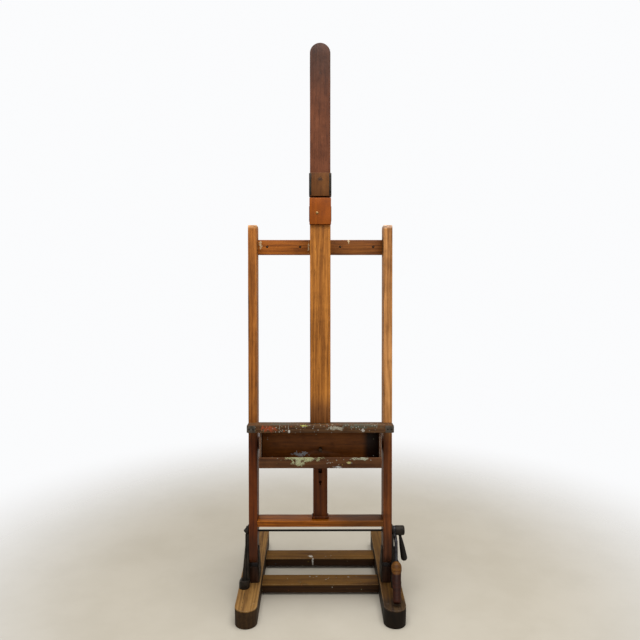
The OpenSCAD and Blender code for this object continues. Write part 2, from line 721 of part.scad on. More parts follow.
module mast_board() {
  difference() {
    union() {
      bx([-mast_w/2, mast_front, ledge_z + fit], [mast_w/2, mast_back, head_z]);
      bx([-mast_w/2, thin_d, head_z - 1], [mast_w/2, mast_back, head_z + head_h]);
      mast_tenon();
    }
    translate([bolt_x, 0, bolt_z]) to_front() cylinder(d = bolt_d + 2*fit, h = 100, center = true);
    keep_screws() screw_hole(3.5, 14);
  }
}
module head_block() difference() {
  bx([-mast_w/2 - 1.8, head_front, head_z + 0.6], [mast_w/2 + 1.8, thin_d - fit, head_z + head_h]);
  translate([bolt_x, 0, bolt_z]) to_front() cylinder(d = bolt_d + 2*fit, h = 100, center = true);
}
mk_z = head_z + 16;
mk_h = 56;
module keep_screws()
  sides() translate([mast_w/2 + slide + iron, -4, mk_z + mk_h - 10]) to_right() children();
module mast_keeper() {
  k = mast_w/2 + slide;
  difference() {
    bx([-k - iron, thin_d + 2, mk_z], [k + iron, keep_d + iron, mk_z + mk_h]);
    bx([-k, thin_d + 1, mk_z - 1], [k, keep_d, mk_z + mk_h + 1]);
    translate([bolt_x, 0, bolt_z]) to_front() cylinder(d = bolt_d + 2*fit, h = 100, center = true);
    keep_screws() screw_hole(3.5, 14);
  }
}
module mast_bolt() translate([bolt_x, head_front, bolt_z]) to_front() {
  screw(bolt_d - 1, keep_d + iron - head_front + 18, 10, 2.8);
}
// wing nut
module nut_wing() {
  cube([5, 3.6, 20]);
  translate([5, 1.8, 20]) to_front() cylinder(d = 11, h = 3.6, center = true);
}
module mast_nut() translate([bolt_x, keep_d + iron + 0.4, bolt_z]) to_back() difference() {
  union() {
    cylinder(d = 17, h = 9);
    sides() translate([4, -1.8, 4]) rotate([0, 38, 0]) nut_wing();
  }
  translate([0, 0, -1]) cylinder(d = bolt_d - 1 + 2*bore_gap, h = 14);
}

// ---- extension mast and canvas clip ----
ext_r = mast_w/2;
ext_bulge = 38;
module extension() {
  r = (ext_r*ext_r + ext_bulge*ext_bulge)/(2*ext_bulge);
  translate([0, ext_front, 0]) difference() {
    to_front() translate([0, 0, -ext_t]) linear_extrude(ext_t) difference() {
      union() {
        translate([-ext_r, ext_z - ext_len]) square([mast_w, ext_len - ext_bulge]);
        intersection() {
          translate([0, ext_z - r]) circle(r = r, $fn = 128);
          translate([-ext_r, ext_z - ext_bulge - 1]) square([mast_w, ext_bulge + 2]);
        }
      }
      // slot for the mast bolt
      translate([bolt_x - (bolt_d + 1)/2, slot_low]) square([bolt_d + 1, bolt_z - slot_low]);
      translate([bolt_x, slot_low]) circle(d = bolt_d + 1);
      translate([bolt_x, bolt_z]) circle(d = bolt_d + 1);
    }
    for (z = ext_scr_z) translate([0, 0, z]) to_front() translate([0, 0, -2]) cylinder(d = 6, h = 3);
  }
}
ext_scr_z = [ext_z - 116, ext_z - 390];
module clip_block() {
  difference() {
    bx([-mast_w/2, head_front, clip_z], [mast_w/2, ext_front - slide, clip_z + clip_h]);
    sides() for (z = [clip_z + 16, clip_z + clip_h - 16])
      translate([mast_w/2 - 2, head_front - iron, z]) to_front() screw_hole(2.6, 10);
  }
}
module clip_strap() {
  k = mast_w/2 + 0.4;
  difference() {
    bx([-k - iron, head_front - iron, clip_z + 3], [k + iron, keep_d + iron, clip_z + clip_h - 3]);
    bx([-k, head_front - fit/2, clip_z], [k, keep_d, clip_z + clip_h]);
    bx([-k + 6, head_front - 5, clip_z], [k - 6, head_front + 1, clip_z + clip_h]);
    translate([0, keep_d - 1, clip_z + clip_h/2]) to_back() cylinder(d = 6 + 2*bore_gap, h = iron + 2);
  }
}
module clip_thumbscrew() translate([0, ext_back + 0.1, clip_z + clip_h/2]) to_back() {
  cylinder(d = 6, h = 22);
  translate([0, 0, 12]) cylinder(d = 11, h = 8);
  translate([0, 0, 25]) to_front() intersection() {
    cylinder(d = 26, h = 4, center = true);
    bx([-14, -10, -3], [14, 10, 3]);
  }
}

left_runner();
right_runner();
front_rail();
rear_rail();
rail_bolts();
left_stub();
right_stub();
left_cheeks();
right_cheeks();
stub_bolts();
foot_pivots();
left_shoe();
right_shoe();
shoe_screws();
left_quadrant();
right_quadrant();
left_stay();
quadrant_screws();
left_upright();
right_upright();
node_crossbar();  // crossbar
crossbar_screws();
node_lower_rail();  // lower_rail
lower_rail_screws();
centre_post();
post_plinth();
tie_rod();
node_rod_nut();  // rod_nut
rod_washers();
clamp_boss();
clamp_handle();
lever_arm();
lever_ferrule();
lever_grip();
tray_ledge();
left_ledge_strap();
right_ledge_strap();
strap_screws();
node_box_back();  // box_back
node_box_bottom();  // box_bottom
left_box_side();
right_box_side();
node_box_front();  // box_front
node_rear_batten();  // rear_batten
node_catch_plate();  // catch_plate
node_catch_pin();  // catch_pin
upper_guide_block();
lower_guide_block();
upper_keeper();
lower_keeper();
keeper_screws();
node_mast_board();  // mast_board
node_head_block();  // head_block
node_mast_keeper();  // mast_keeper
node_mast_bolt();  // mast_bolt
node_mast_nut();  // mast_nut
extension_mast();
node_clip_block();  // clip_block
node_clip_strap();  // clip_strap
node_clip_thumbscrew();  // clip_thumbscrew

module left_runner() color(wood_worn) place() side(-1) runner();
module right_runner() color(wood_worn) place() side(1) runner();
module front_rail() color(wood_worn) place() rail(front_rail_y);
module rear_rail() color(wood_worn) place() rail(rear_rail_y);
module rail_bolts() color(iron_c) place() sides() for (y = [front_rail_y, rear_rail_y])
  translate([-6, 0, 0]) at_rail_bolt(y) bolt(bolt_d, runner_w + 24, 4, 13, 5);
module left_stub() color(wood_dark) place() side(-1) stub();
module right_stub() color(wood_dark) place() side(1) stub();
module left_cheeks() color(iron_c) place() side(-1) cheeks();
module right_cheeks() color(iron_c) place() side(1) cheeks();
module stub_bolts() color(iron_c) place() sides() for (y = stub_bolt_y) through_rivet(y, stub_bolt_z);
module foot_pivots() color(iron_c) place() sides() through_rivet(pivot_y, pivot_z);
module left_shoe() color(iron_c) place() side(-1) shoe(true);
module right_shoe() color(iron_c) place() side(1) shoe(false);
module shoe_screws() color(iron_c) place()
  sides() for (p = shoe_scr) translate([p[0], p[1], runner_h + 7]) screw(screw_d, 26, 9, 2.6);
module left_quadrant() color(iron_c) place() side(-1) quadrant(false);
module right_quadrant() color(iron_c) place() side(1) quadrant(true);
module left_stay() color(iron_c) place() side(-1) stay();
module quadrant_screws() color(iron_c) place() sides() at_quad_screw(quad_t) screw(screw_d, 24, 9, 2.6);
module left_upright() color(wood_mid) lean() side(-1) upright();
module right_upright() color(wood_mid) lean() side(1) upright();
module node_crossbar() color(wood_amber) lean() crossbar();
module crossbar_screws() color(iron_c) lean() {
  at_cross_screws(cross_d + 3) screw(screw_d, 14, plug_d, 2.4);
  at_post_screws() screw(screw_d, 38, 9, 2.6);
}
module node_lower_rail() color(wood_amber) lean() lower_rail();
module lower_rail_screws() color(iron_c) lean() sides() at_rail_screws() screw(5, 58, 0.1, 0.05);
module centre_post() color(wood_dark) lean() post();
module post_plinth() color(wood_dark) lean() plinth();
module tie_rod() color(iron_c) lean() rod();
module node_rod_nut() color(iron_c) lean() rod_nut();
module rod_washers() color(iron_c) lean() { washer(up_out + fit/2); washer(-up_out - washer_t - fit/2); }
module clamp_boss() color(iron_c) lean() boss();
module clamp_handle() color(iron_c) lean() handle();
module lever_arm() color(steel_c) lean() arm();
module lever_ferrule() color(steel_c) lean() ferrule();
module lever_grip() color(wood_amber) lean() grip();
module tray_ledge() color(wood_dark) lean() ledge();
module left_ledge_strap() color(strap_c) lean() side(-1) strap();
module right_ledge_strap() color(strap_c) lean() side(1) strap();
module strap_screws() color(iron_c) lean() sides() strap_at() screw(screw_d, 17, 8, 1.6);
module node_box_back() color(wood_dark) lean() box_back();
module node_box_bottom() color(wood_dark) lean() box_bottom();
module left_box_side() color(wood_dark) lean() side(-1) box_side();
module right_box_side() color(wood_dark) lean() side(1) box_side();
module node_box_front() color(wood_dark) lean() box_front();
module node_rear_batten() color(wood_dark) lean() rear_batten();
module node_catch_plate() color(iron_c) lean() catch_plate();
module node_catch_pin() color(iron_c) lean() catch_pin();
module upper_guide_block() color(wood_mid) lean() guide_block(upper_keep_z, mast_back + 0.1);
module lower_guide_block() color(wood_mid) lean() guide_block(lower_keep_z, box_back + 0.1);
module upper_keeper() color(iron_c) lean() keeper(upper_keep_z);
module lower_keeper() color(iron_c) lean() keeper(lower_keep_z);
module keeper_screws() color(iron_c) lean() { keeper_screw(upper_keep_z); keeper_screw(lower_keep_z); }
module node_mast_board() color(wood_amber) lean() mast_board();
module node_head_block() color(wood_bright) lean() head_block();
module node_mast_keeper() color(iron_c) lean() mast_keeper();
module node_mast_bolt() color(iron_c) lean() mast_bolt();
module node_mast_nut() color(iron_c) lean() mast_nut();
module extension_mast() color(wood_dark) lean() extension();
module node_clip_block() color(wood_mid) lean() clip_block();
module node_clip_strap() color(iron_c) lean() clip_strap();
module node_clip_thumbscrew() color(iron_c) lean() clip_thumbscrew();
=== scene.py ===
"""An old H-frame studio easel in worn oak, black iron and dried paint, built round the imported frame."""
import json
import math
import random

import bmesh
import bpy
import numpy as np
from mathutils import Matrix, Vector

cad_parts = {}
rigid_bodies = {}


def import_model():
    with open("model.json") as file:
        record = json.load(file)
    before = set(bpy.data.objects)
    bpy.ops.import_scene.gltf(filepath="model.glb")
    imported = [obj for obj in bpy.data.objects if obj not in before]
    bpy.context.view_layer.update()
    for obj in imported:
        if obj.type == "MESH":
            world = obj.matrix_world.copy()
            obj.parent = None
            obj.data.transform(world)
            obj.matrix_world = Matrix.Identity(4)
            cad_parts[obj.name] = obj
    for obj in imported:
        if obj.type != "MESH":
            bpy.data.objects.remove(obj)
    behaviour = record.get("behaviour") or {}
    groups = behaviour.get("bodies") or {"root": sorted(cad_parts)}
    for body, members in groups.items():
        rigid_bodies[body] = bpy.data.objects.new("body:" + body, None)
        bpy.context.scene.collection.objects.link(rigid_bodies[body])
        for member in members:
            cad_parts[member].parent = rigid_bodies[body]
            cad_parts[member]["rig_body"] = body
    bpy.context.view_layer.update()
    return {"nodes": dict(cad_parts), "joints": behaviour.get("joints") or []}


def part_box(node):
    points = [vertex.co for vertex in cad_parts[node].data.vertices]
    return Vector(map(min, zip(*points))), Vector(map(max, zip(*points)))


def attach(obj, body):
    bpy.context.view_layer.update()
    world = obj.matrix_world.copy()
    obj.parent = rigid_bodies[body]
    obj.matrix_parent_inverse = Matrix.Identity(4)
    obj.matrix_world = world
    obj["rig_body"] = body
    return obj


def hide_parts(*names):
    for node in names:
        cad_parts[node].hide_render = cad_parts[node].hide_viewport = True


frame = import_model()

NODES = frame["nodes"]
JOINTS = {joint["name"]: joint for joint in frame["joints"]}
MM = 0.001
LEAN = math.atan2(JOINTS["tray_lift"]["axis"][1], JOINTS["tray_lift"]["axis"][2])
PIVOT = Vector(JOINTS["frame_tilt"]["pos_m"])
# takes a point of the upright easel (across, back from the pivot, up from the pivot) to its leaning place
LEANING = Matrix.Translation(PIVOT) @ Matrix.Rotation(-LEAN, 4, "X")
random.seed(7)


# ---- camera, light and floor ----

def place_camera():
    data = bpy.data.cameras.new("camera")
    data.sensor_width = 36
    data.lens = 38.25
    camera = bpy.data.objects.new("camera", data)
    camera.location = (-0.0239, -2.6798, 1.4499)
    camera.rotation_euler = (math.radians(82.70), 0, math.radians(-0.22))
    bpy.context.scene.collection.objects.link(camera)
    bpy.context.scene.camera = camera


def softbox(name, place, aim, width, height, power):
    data = bpy.data.lights.new(name, "AREA")
    data.shape = "RECTANGLE"
    data.size, data.size_y = width, height
    data.energy = power
    light = bpy.data.objects.new(name, data)
    light.location = place
    light.rotation_euler = (Vector(aim) - Vector(place)).to_track_quat("-Z", "Y").to_euler()
    bpy.context.scene.collection.objects.link(light)


def light_the_studio():
    softbox("ceiling_light", (0.15, -0.7, 3.7), (0, 0.05, 0.7), 2.6, 2.2, 120)
    softbox("front_fill", (1.3, -3.4, 2.4), (0, 0, 1.0), 1.8, 1.8, 16)
    world = bpy.data.worlds.new("studio")
    bpy.context.scene.world = world
    world.use_nodes = True
    tree = world.node_tree
    background = tree.nodes["Background"]
    # white where it is seen, dimmer and warmer where it lights the piece
    seen = add(tree, "ShaderNodeLightPath").outputs["Is Camera Ray"]
    tree.links.new(mix(tree, seen, (1.0, 0.96, 0.90), (0.985, 0.99, 1.0)), background.inputs["Color"])
    strength = math_node(tree, "ADD", math_node(tree, "MULTIPLY", seen, 0.52), 0.46)
    tree.links.new(strength, background.inputs["Strength"])
    bpy.context.scene.view_settings.view_transform = "Standard"


# ---- node helpers ----

def add(tree, kind, inputs=None, **settings):
    """One node, with its settings, and its inputs given as sockets or as values."""
    node = tree.nodes.new(kind)
    for name, value in settings.items():
        setattr(node, name, value)
    for name, value in (inputs or {}).items():
        if isinstance(value, bpy.types.NodeSocket):
            tree.links.new(value, node.inputs[name])
        else:
            node.inputs[name].default_value = value
    return node


def math_node(tree, operation, a, b=0.0, clamp=False):
    return add(tree, "ShaderNodeMath", {0: a, 1: b}, operation=operation, use_clamp=clamp).outputs[0]


def between(tree, value, low, high):
    """0 below low, 1 above high, smooth between them."""
    node = add(tree, "ShaderNodeMapRange", {"Value": value, "From Min": low, "From Max": high},
               interpolation_type="SMOOTHSTEP")
    return node.outputs["Result"]


def mix(tree, factor, a, b, blend="MIX"):
    node = add(tree, "ShaderNodeMix", data_type="RGBA", blend_type=blend)
    for socket, value in ((node.inputs[0], factor), (node.inputs[6], a), (node.inputs[7], b)):
        if isinstance(value, bpy.types.NodeSocket):
            tree.links.new(value, socket)
        else:
            socket.default_value = (*value, 1) if isinstance(value, tuple) and len(value) == 3 else value
    return node.outputs[2]


def noise(tree, where, scale, detail=3.0, rough=0.55, warp=0.0):
    node = add(tree, "ShaderNodeTexNoise",
               {"Vector": where, "Scale": scale, "Detail": detail, "Roughness": rough, "Distortion": warp})
    return node.outputs["Fac"]


def edge_mask(tree, reach):
    """Near 1 on a piece's outer edges, 0 on its flats."""
    bevel = add(tree, "ShaderNodeBevel", {"Radius": reach}, samples=6).outputs["Normal"]
    geometry = add(tree, "ShaderNodeNewGeometry").outputs["Normal"]
    dot = add(tree, "ShaderNodeVectorMath", {0: bevel, 1: geometry}, operation="DOT_PRODUCT").outputs["Value"]
    return between(tree, dot, 0.999, 0.93)


def new_material(name):
    material = bpy.data.materials.new(name)
    material.use_nodes = True
    tree = material.node_tree
    tree.nodes.clear()
    shader = add(tree, "ShaderNodeBsdfPrincipled")
    output = add(tree, "ShaderNodeOutputMaterial")
    tree.links.new(shader.outputs["BSDF"], output.inputs["Surface"])
    return material, tree, shader


def flecks(tree, where, scale, size, chance):
    """Spots of different sizes, and a random number for the colour of each."""
    cells = add(tree, "ShaderNodeTexVoronoi", {"Vector": where, "Scale": scale, "Randomness": 1.0})
    pick = add(tree, "ShaderNodeSeparateColor", {"Color": cells.outputs["Color"]})
    radius = math_node(tree, "MULTIPLY", between(tree, pick.outputs["Red"], 1 - chance, 1.0), size)
    spot = math_node(tree, "LESS_THAN", cells.outputs["Distance"], radius)
    return spot, pick.outputs["Green"]


PAINT_COLOURS = [(0.42, 0.40, 0.34), (0.20, 0.22, 0.13), (0.30, 0.07, 0.02), (0.34, 0.30, 0.20),
                 (0.07, 0.10, 0.13), (0.36, 0.26, 0.05), (0.26, 0.27, 0.25)]


def paint_ramp(tree, pick):
    ramp = add(tree, "ShaderNodeValToRGB", {"Fac": pick})
    ramp.color_ramp.interpolation = "CONSTANT"
    points = ramp.color_ramp.elements
    while len(points) < len(PAINT_COLOURS):
        points.new(0.5)
    for place, (point, colour) in enumerate(zip(points, PAINT_COLOURS)):
        point.position = place / len(PAINT_COLOURS)
        point.color = (*colour, 1)
    return ramp.outputs["Color"]


def smear(tree, where, centre, reach):
    """A ragged, broken patch round a point: 1 inside, 0 outside."""
    off = add(tree, "ShaderNodeVectorMath", {0: where, 1: centre}, operation="SUBTRACT").outputs["Vector"]
    off = add(tree, "ShaderNodeVectorMath", {0: off, 1: reach}, operation="DIVIDE").outputs["Vector"]
    far = add(tree, "ShaderNodeVectorMath", {0: off}, operation="LENGTH").outputs["Value"]
    broken = between(tree, noise(tree, where, 260, 5, 0.7), 0.36, 0.64)
    coarse = between(tree, noise(tree, where, 75, 2, 0.5), 0.36, 0.64)
    far = math_node(tree, "ADD", far, math_node(tree, "MULTIPLY", broken, 0.75))
    far = math_node(tree, "ADD", far, math_node(tree, "MULTIPLY", coarse, 0.65))
    worn_through = between(tree, noise(tree, where, 520, 3, 0.6), 0.40, 0.50)
    return math_node(tree, "MULTIPLY", between(tree, far, 1.62, 1.48), worn_through)


# ---- materials ----

TURN = {"up": (LEAN, 0, 0), "back": (math.radians(90), 0, 0), "across": (0, math.radians(90), 0)}


def wood(name, body, grain="up", seed=0, gloss=0.46, worn=None, wear=0.5, pores=0.6, rings=0.10,
         contrast=1.0, mottle=0.0, fades=(), spots=0.0, smears=(), relief=0.5):
    """Timber with long fibres, open pores, mottled varnish and rubbed edges.

    fades are (tint, axis, where it starts, where it is full); smears are (centre, reach, colour).
    """
    material, tree, shader = new_material(name)
    deep = tuple(c * f ** contrast for c, f in zip(body, (0.46, 0.40, 0.36)))
    pale = tuple(min(1.0, c * f ** contrast) for c, f in zip(body, (1.50, 1.62, 1.80)))
    here = add(tree, "ShaderNodeTexCoord").outputs["Object"]
    turned = add(tree, "ShaderNodeMapping",
                 {"Vector": here, "Rotation": TURN[grain],
                  "Location": (seed * 0.37, seed * 0.71, seed * 1.3)})
    turned = turned.outputs["Vector"]

    def stretched(x, y, z):
        return add(tree, "ShaderNodeMapping", {"Vector": turned, "Scale": (x, y, z)}).outputs["Vector"]

    fibre = noise(tree, stretched(1, 1, 0.03), 420, 5, 0.62)
    streak = noise(tree, stretched(1, 1, 0.045), 62, 5, 0.62, 0.5)
    ring = add(tree, "ShaderNodeTexWave",
               {"Vector": stretched(1, 0.5, 0.05), "Scale": 17, "Distortion": 16, "Detail": 4,
                "Detail Scale": 1.1, "Detail Roughness": 0.65}).outputs["Fac"]
    broad = noise(tree, stretched(1, 1, 0.30), 9, 4, 0.55)
    pore = noise(tree, stretched(1, 1, 0.022), 950, 2, 0.5)
    tone = math_node(tree, "MULTIPLY", ring, rings)
    tone = math_node(tree, "ADD", tone, math_node(tree, "MULTIPLY", streak, 0.40 - mottle))
    tone = math_node(tree, "ADD", tone, math_node(tree, "MULTIPLY", fibre, 0.18))
    tone = math_node(tree, "ADD", tone, math_node(tree, "MULTIPLY", broad, 0.42 - rings))
    cloud = noise(tree, stretched(1, 1, 0.6), 34, 5, 0.62)
    tone = math_node(tree, "ADD", tone, math_node(tree, "MULTIPLY", cloud, mottle))
    ramp = add(tree, "ShaderNodeValToRGB", {"Fac": tone})
    for place, (position, colour) in enumerate(((0.37, deep), (0.50, body), (0.64, pale))):
        if place > 1:
            ramp.color_ramp.elements.new(position)
        ramp.color_ramp.elements[place].position = position
        ramp.color_ramp.elements[place].color = (*colour, 1)
    colour = ramp.outputs["Color"]
    open_pore = math_node(tree, "MULTIPLY", between(tree, pore, 0.60, 0.70), pores)
    colour = mix(tree, open_pore, colour, tuple(c * 0.40 for c in deep))
    grime = between(tree, noise(tree, here, 16, 5, 0.65), 0.54, 0.72)
    colour = mix(tree, math_node(tree, "MULTIPLY", grime, 0.34), colour, tuple(c * 0.5 for c in deep))
    edge = edge_mask(tree, 0.0040)
    rubbed = between(tree, noise(tree, here, 60, 4, 0.7), 0.62 - 0.35 * wear, 0.80 - 0.35 * wear)
    rubbed = math_node(tree, "MULTIPLY", edge, rubbed)
    rubbed = math_node(tree, "MULTIPLY", rubbed, min(1.0, 0.2 + wear * 0.6))
    colour = mix(tree, rubbed, colour, worn or tuple(min(1.0, c * 1.7 + 0.02) for c in pale))
    scratch = noise(tree, stretched(0.35, 2.2, 0.9), 130, 2, 0.5, 0.6)
    scratch = math_node(tree, "MULTIPLY", between(tree, scratch, 0.70, 0.73), 0.30 * wear)
    colour = mix(tree, scratch, colour, worn or tuple(min(1.0, c * 1.4 + 0.01) for c in pale))
    for tint, axis, start, full in fades:
        along = add(tree, "ShaderNodeSeparateXYZ", {"Vector": here}).outputs[axis]
        along = math_node(tree, "ADD", along, math_node(tree, "MULTIPLY", streak, 0.25 * abs(full - start)))
        along = math_node(tree, "SUBTRACT", along, 0.125 * abs(full - start))
        faded = mix(tree, 1.0, colour, tint, "MULTIPLY")
        colour = mix(tree, between(tree, along, start, full), colour, faded)
    painted = None
    if spots:
        for scale, size, chance in ((60, 0.26, 0.10 * spots), (170, 0.30, 0.16 * spots)):
            spot, pick = flecks(tree, here, scale, size, chance)
            colour = mix(tree, spot, colour, paint_ramp(tree, pick))
            painted = spot if painted is None else math_node(tree, "MAXIMUM", painted, spot)
    for centre, reach, tint in smears:
        patch = smear(tree, here, centre, reach)
        colour = mix(tree, patch, colour, tint)
        painted = patch if painted is None else math_node(tree, "MAXIMUM", painted, patch)
    tree.links.new(colour, shader.inputs["Base Color"])
    rough = add(tree, "ShaderNodeMapRange",
                {"Value": broad, "From Min": 0.3, "From Max": 0.7,
                 "To Min": gloss - 0.06, "To Max": gloss + 0.16}).outputs["Result"]
    rough = math_node(tree, "ADD", rough, math_node(tree, "MULTIPLY", rubbed, 0.2))
    tree.links.new(rough, shader.inputs["Roughness"])
    shader.inputs["Specular IOR Level"].default_value = 0.19
    height = math_node(tree, "MULTIPLY", fibre, 0.5)
    height = math_node(tree, "SUBTRACT", height, math_node(tree, "MULTIPLY", open_pore, 0.9))
    height = math_node(tree, "ADD", height, math_node(tree, "MULTIPLY", noise(tree, here, 38, 4, 0.6), 1.1))
    if painted is not None:
        height = math_node(tree, "ADD", height, math_node(tree, "MULTIPLY", painted, 0.8))
    bump = add(tree, "ShaderNodeBump", {"Height": height, "Strength": relief, "Distance": 0.0006})
    tree.links.new(bump.outputs["Normal"], shader.inputs["Normal"])
    return material


def metal(name, dark, light, rust, rough, metallic, pits=0.5, rusting=0.35, spots=0.0, rim=0.4):
    """Old metal: mottled patina, rust in patches, rubbed bright edges and fine pits."""
    material, tree, shader = new_material(name)
    here = add(tree, "ShaderNodeTexCoord").outputs["Object"]
    cloud = noise(tree, here, 42, 5, 0.62)
    grain = noise(tree, here, 620, 3, 0.6)
    colour = mix(tree, between(tree, cloud, 0.34, 0.66), dark, light)
    colour = mix(tree, math_node(tree, "MULTIPLY", between(tree, grain, 0.45, 0.7), 0.35), colour,
                 tuple(c * 0.5 for c in dark))
    rusty = math_node(tree, "MULTIPLY", between(tree, noise(tree, here, 75, 6, 0.7), 0.50, 0.66), rusting)
    colour = mix(tree, rusty, colour, rust)
    edge = math_node(tree, "MULTIPLY", edge_mask(tree, 0.0016), between(tree, cloud, 0.35, 0.55))
    colour = mix(tree, math_node(tree, "MULTIPLY", edge, rim), colour, tuple(c * 2.2 + 0.02 for c in light))
    if spots:
        spot, pick = flecks(tree, here, 120, 0.32, spots)
        colour = mix(tree, spot, colour, paint_ramp(tree, pick))
    tree.links.new(colour, shader.inputs["Base Color"])
    shader.inputs["Metallic"].default_value = metallic
    shader.inputs["Specular IOR Level"].default_value = 0.28
    shine = math_node(tree, "ADD", math_node(tree, "MULTIPLY", cloud, 0.28), rough - 0.14)
    shine = math_node(tree, "ADD", shine, math_node(tree, "MULTIPLY", rusty, 0.25), True)
    tree.links.new(shine, shader.inputs["Roughness"])
    height = math_node(tree, "ADD", math_node(tree, "MULTIPLY", grain, 0.5), cloud)
    bump = add(tree, "ShaderNodeBump", {"Height": height, "Strength": pits, "Distance": 0.0005})
    tree.links.new(bump.outputs["Normal"], shader.inputs["Normal"])
    return material


def dried_paint(name, colour):
    material, tree, shader = new_material(name)
    here = add(tree, "ShaderNodeTexCoord").outputs["Object"]
    tone = noise(tree, here, 260, 4, 0.6)
    tint = mix(tree, between(tree, tone, 0.3, 0.7), tuple(c * 0.72 for c in colour), colour)
    tree.links.new(tint, shader.inputs["Base Color"])
    shader.inputs["Roughness"].default_value = 0.55
    bump = add(tree, "ShaderNodeBump", {"Height": tone, "Strength": 0.5, "Distance": 0.0004})
    tree.links.new(bump.outputs["Normal"], shader.inputs["Normal"])
    return material


def lay_floor():
    """A plain pale floor that fades into the light round it."""
    material, tree, shader = new_material("studio_floor")
    here = add(tree, "ShaderNodeTexCoord").outputs["Object"]
    far = add(tree, "ShaderNodeVectorMath", {0: here}, operation="LENGTH").outputs["Value"]
    patches = between(tree, noise(tree, here, 3, 4, 0.6), 0.35, 0.65)
    tint = mix(tree, patches, (0.50, 0.46, 0.38), (0.53, 0.49, 0.41))
    tree.links.new(tint, shader.inputs["Base Color"])
    shader.inputs["Roughness"].default_value = 0.6
    clear = add(tree, "ShaderNodeBsdfTransparent")
    output = next(node for node in tree.nodes if node.type == "OUTPUT_MATERIAL")
    blend = add(tree, "ShaderNodeMixShader", {0: between(tree, far, 0.75, 2.2)})
    tree.links.new(shader.outputs["BSDF"], blend.inputs[1])
    tree.links.new(clear.outputs["BSDF"], blend.inputs[2])
    tree.links.new(blend.outputs[0], output.inputs["Surface"])
    bpy.ops.object.select_all(action="DESELECT")
    bpy.ops.mesh.primitive_circle_add(vertices=96, radius=5, fill_type="NGON")
    floor = bpy.context.object
    floor.name = "studio_floor"
    floor.data.materials.append(material)


# ---- modelling helpers ----

def pick(piece):
    bpy.ops.object.select_all(action="DESELECT")
    piece.select_set(True)
    bpy.context.view_layer.objects.active = piece


def leaning_box(node):
    """Lowest and highest corners of a CAD node, measured square to the leaning frame."""
    back = LEANING.inverted()
    corners = [back @ vertex.co for vertex in NODES[node].data.vertices]
    return (Vector(min(c[i] for c in corners) for i in range(3)),
            Vector(max(c[i] for c in corners) for i in range(3)))


def block(name, low, high):
    bpy.ops.object.select_all(action="DESELECT")
    bpy.ops.mesh.primitive_cube_add(size=1, location=(low + high) / 2, scale=high - low)
    bpy.ops.object.transform_apply(location=True, rotation=True, scale=True)
    piece = bpy.context.object
    piece.name = name
    piece.data.name = name
    return piece


def choose_edges(piece, test):
    """Goes into edit mode with only the edges selected whose middle and direction pass the test."""
    pick(piece)
    bpy.ops.object.mode_set(mode="EDIT")
    bpy.ops.mesh.select_mode(type="EDGE")
    bpy.ops.mesh.select_all(action="DESELECT")
    mesh = bmesh.from_edit_mesh(piece.data)
    for edge in mesh.edges:
        a, b = (vertex.co for vertex in edge.verts)
        edge.select_set(bool(test((a + b) / 2, (b - a).normalized())))
    bmesh.update_edit_mesh(piece.data)


def round_over(piece, test, radius, steps):
    """Rounds the edges that pass the test."""
    choose_edges(piece, test)
    bpy.ops.mesh.bevel(offset=radius, offset_type="OFFSET", segments=steps, affect="EDGES",
                       clamp_overlap=False)
    bpy.ops.object.mode_set(mode="OBJECT")


def slice_along(piece, axis, step):
    """Cuts a board across every so often along its length, so that its faces can be uneven."""
    pick(piece)
    values = [vertex.co[axis] for vertex in piece.data.vertices]
    low, high = min(values), max(values)
    count = max(1, round((high - low) / step))
    bpy.ops.object.mode_set(mode="EDIT")
    normal = [0, 0, 0]
    normal[axis] = 1
    for i in range(1, count):
        point = [0, 0, 0]
        point[axis] = low + (high - low) * i / count
        bpy.ops.mesh.select_all(action="SELECT")
        bpy.ops.mesh.bisect(plane_co=point, plane_no=normal)
    bpy.ops.object.mode_set(mode="OBJECT")


def use(piece, kind, **settings):
    """Adds a modifier and applies it."""
    pick(piece)
    modifier = piece.modifiers.new("shape", kind)
    for name, value in settings.items():
        setattr(modifier, name, value)
    bpy.ops.object.modifier_apply(modifier=modifier.name)


def cut(piece, cutter):
    use(piece, "BOOLEAN", operation="DIFFERENCE", solver="EXACT", object=cutter)
    bpy.data.objects.remove(cutter)


def drill(piece, place, radius, depth, direction, steps=32):
    """Cuts a round hole centred on a place, running back or across."""
    bpy.ops.object.select_all(action="DESELECT")
    bpy.ops.mesh.primitive_cylinder_add(vertices=steps, radius=radius, depth=depth, location=place,
                                        rotation=TURN[direction])
    cut(piece, bpy.context.object)


def join(first, *others):
    pick(first)
    for other in others:
        other.select_set(True)
    bpy.ops.object.join()
    return first


def dent(piece, depth, size, name):
    """Presses the surface in unevenly, never out."""
    texture = bpy.data.textures.new(name, "CLOUDS")
    texture.noise_scale = size
    texture.noise_depth = 2
    use(piece, "DISPLACE", texture=texture, strength=depth, mid_level=1.0, texture_coords="LOCAL")
    bpy.data.textures.remove(texture)


def soften(piece, arris, steps=3):
    use(piece, "BEVEL", width=arris, segments=steps, limit_method="ANGLE", angle_limit=math.radians(40),
        use_clamp_overlap=False)


def weather(piece, name, arris, axis, step, hollow, spread):
    """Rubs a board's arrises round and wears its faces hollow."""
    soften(piece, arris)
    slice_along(piece, axis, step)
    dent(piece, hollow, spread, name)


def smooth(piece, angle=38):
    pick(piece)
    bpy.ops.object.shade_smooth_by_angle(angle=math.radians(angle))


def stand(piece, node, material, leaning=True):
    """Sets a finished piece in its leaning place, in the CAD node's stead."""
    if leaning:
        piece.data.transform(LEANING)
    piece.data.materials.clear()
    piece.data.materials.append(material)
    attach(piece, NODES[node]["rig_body"])
    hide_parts(node)
    return piece


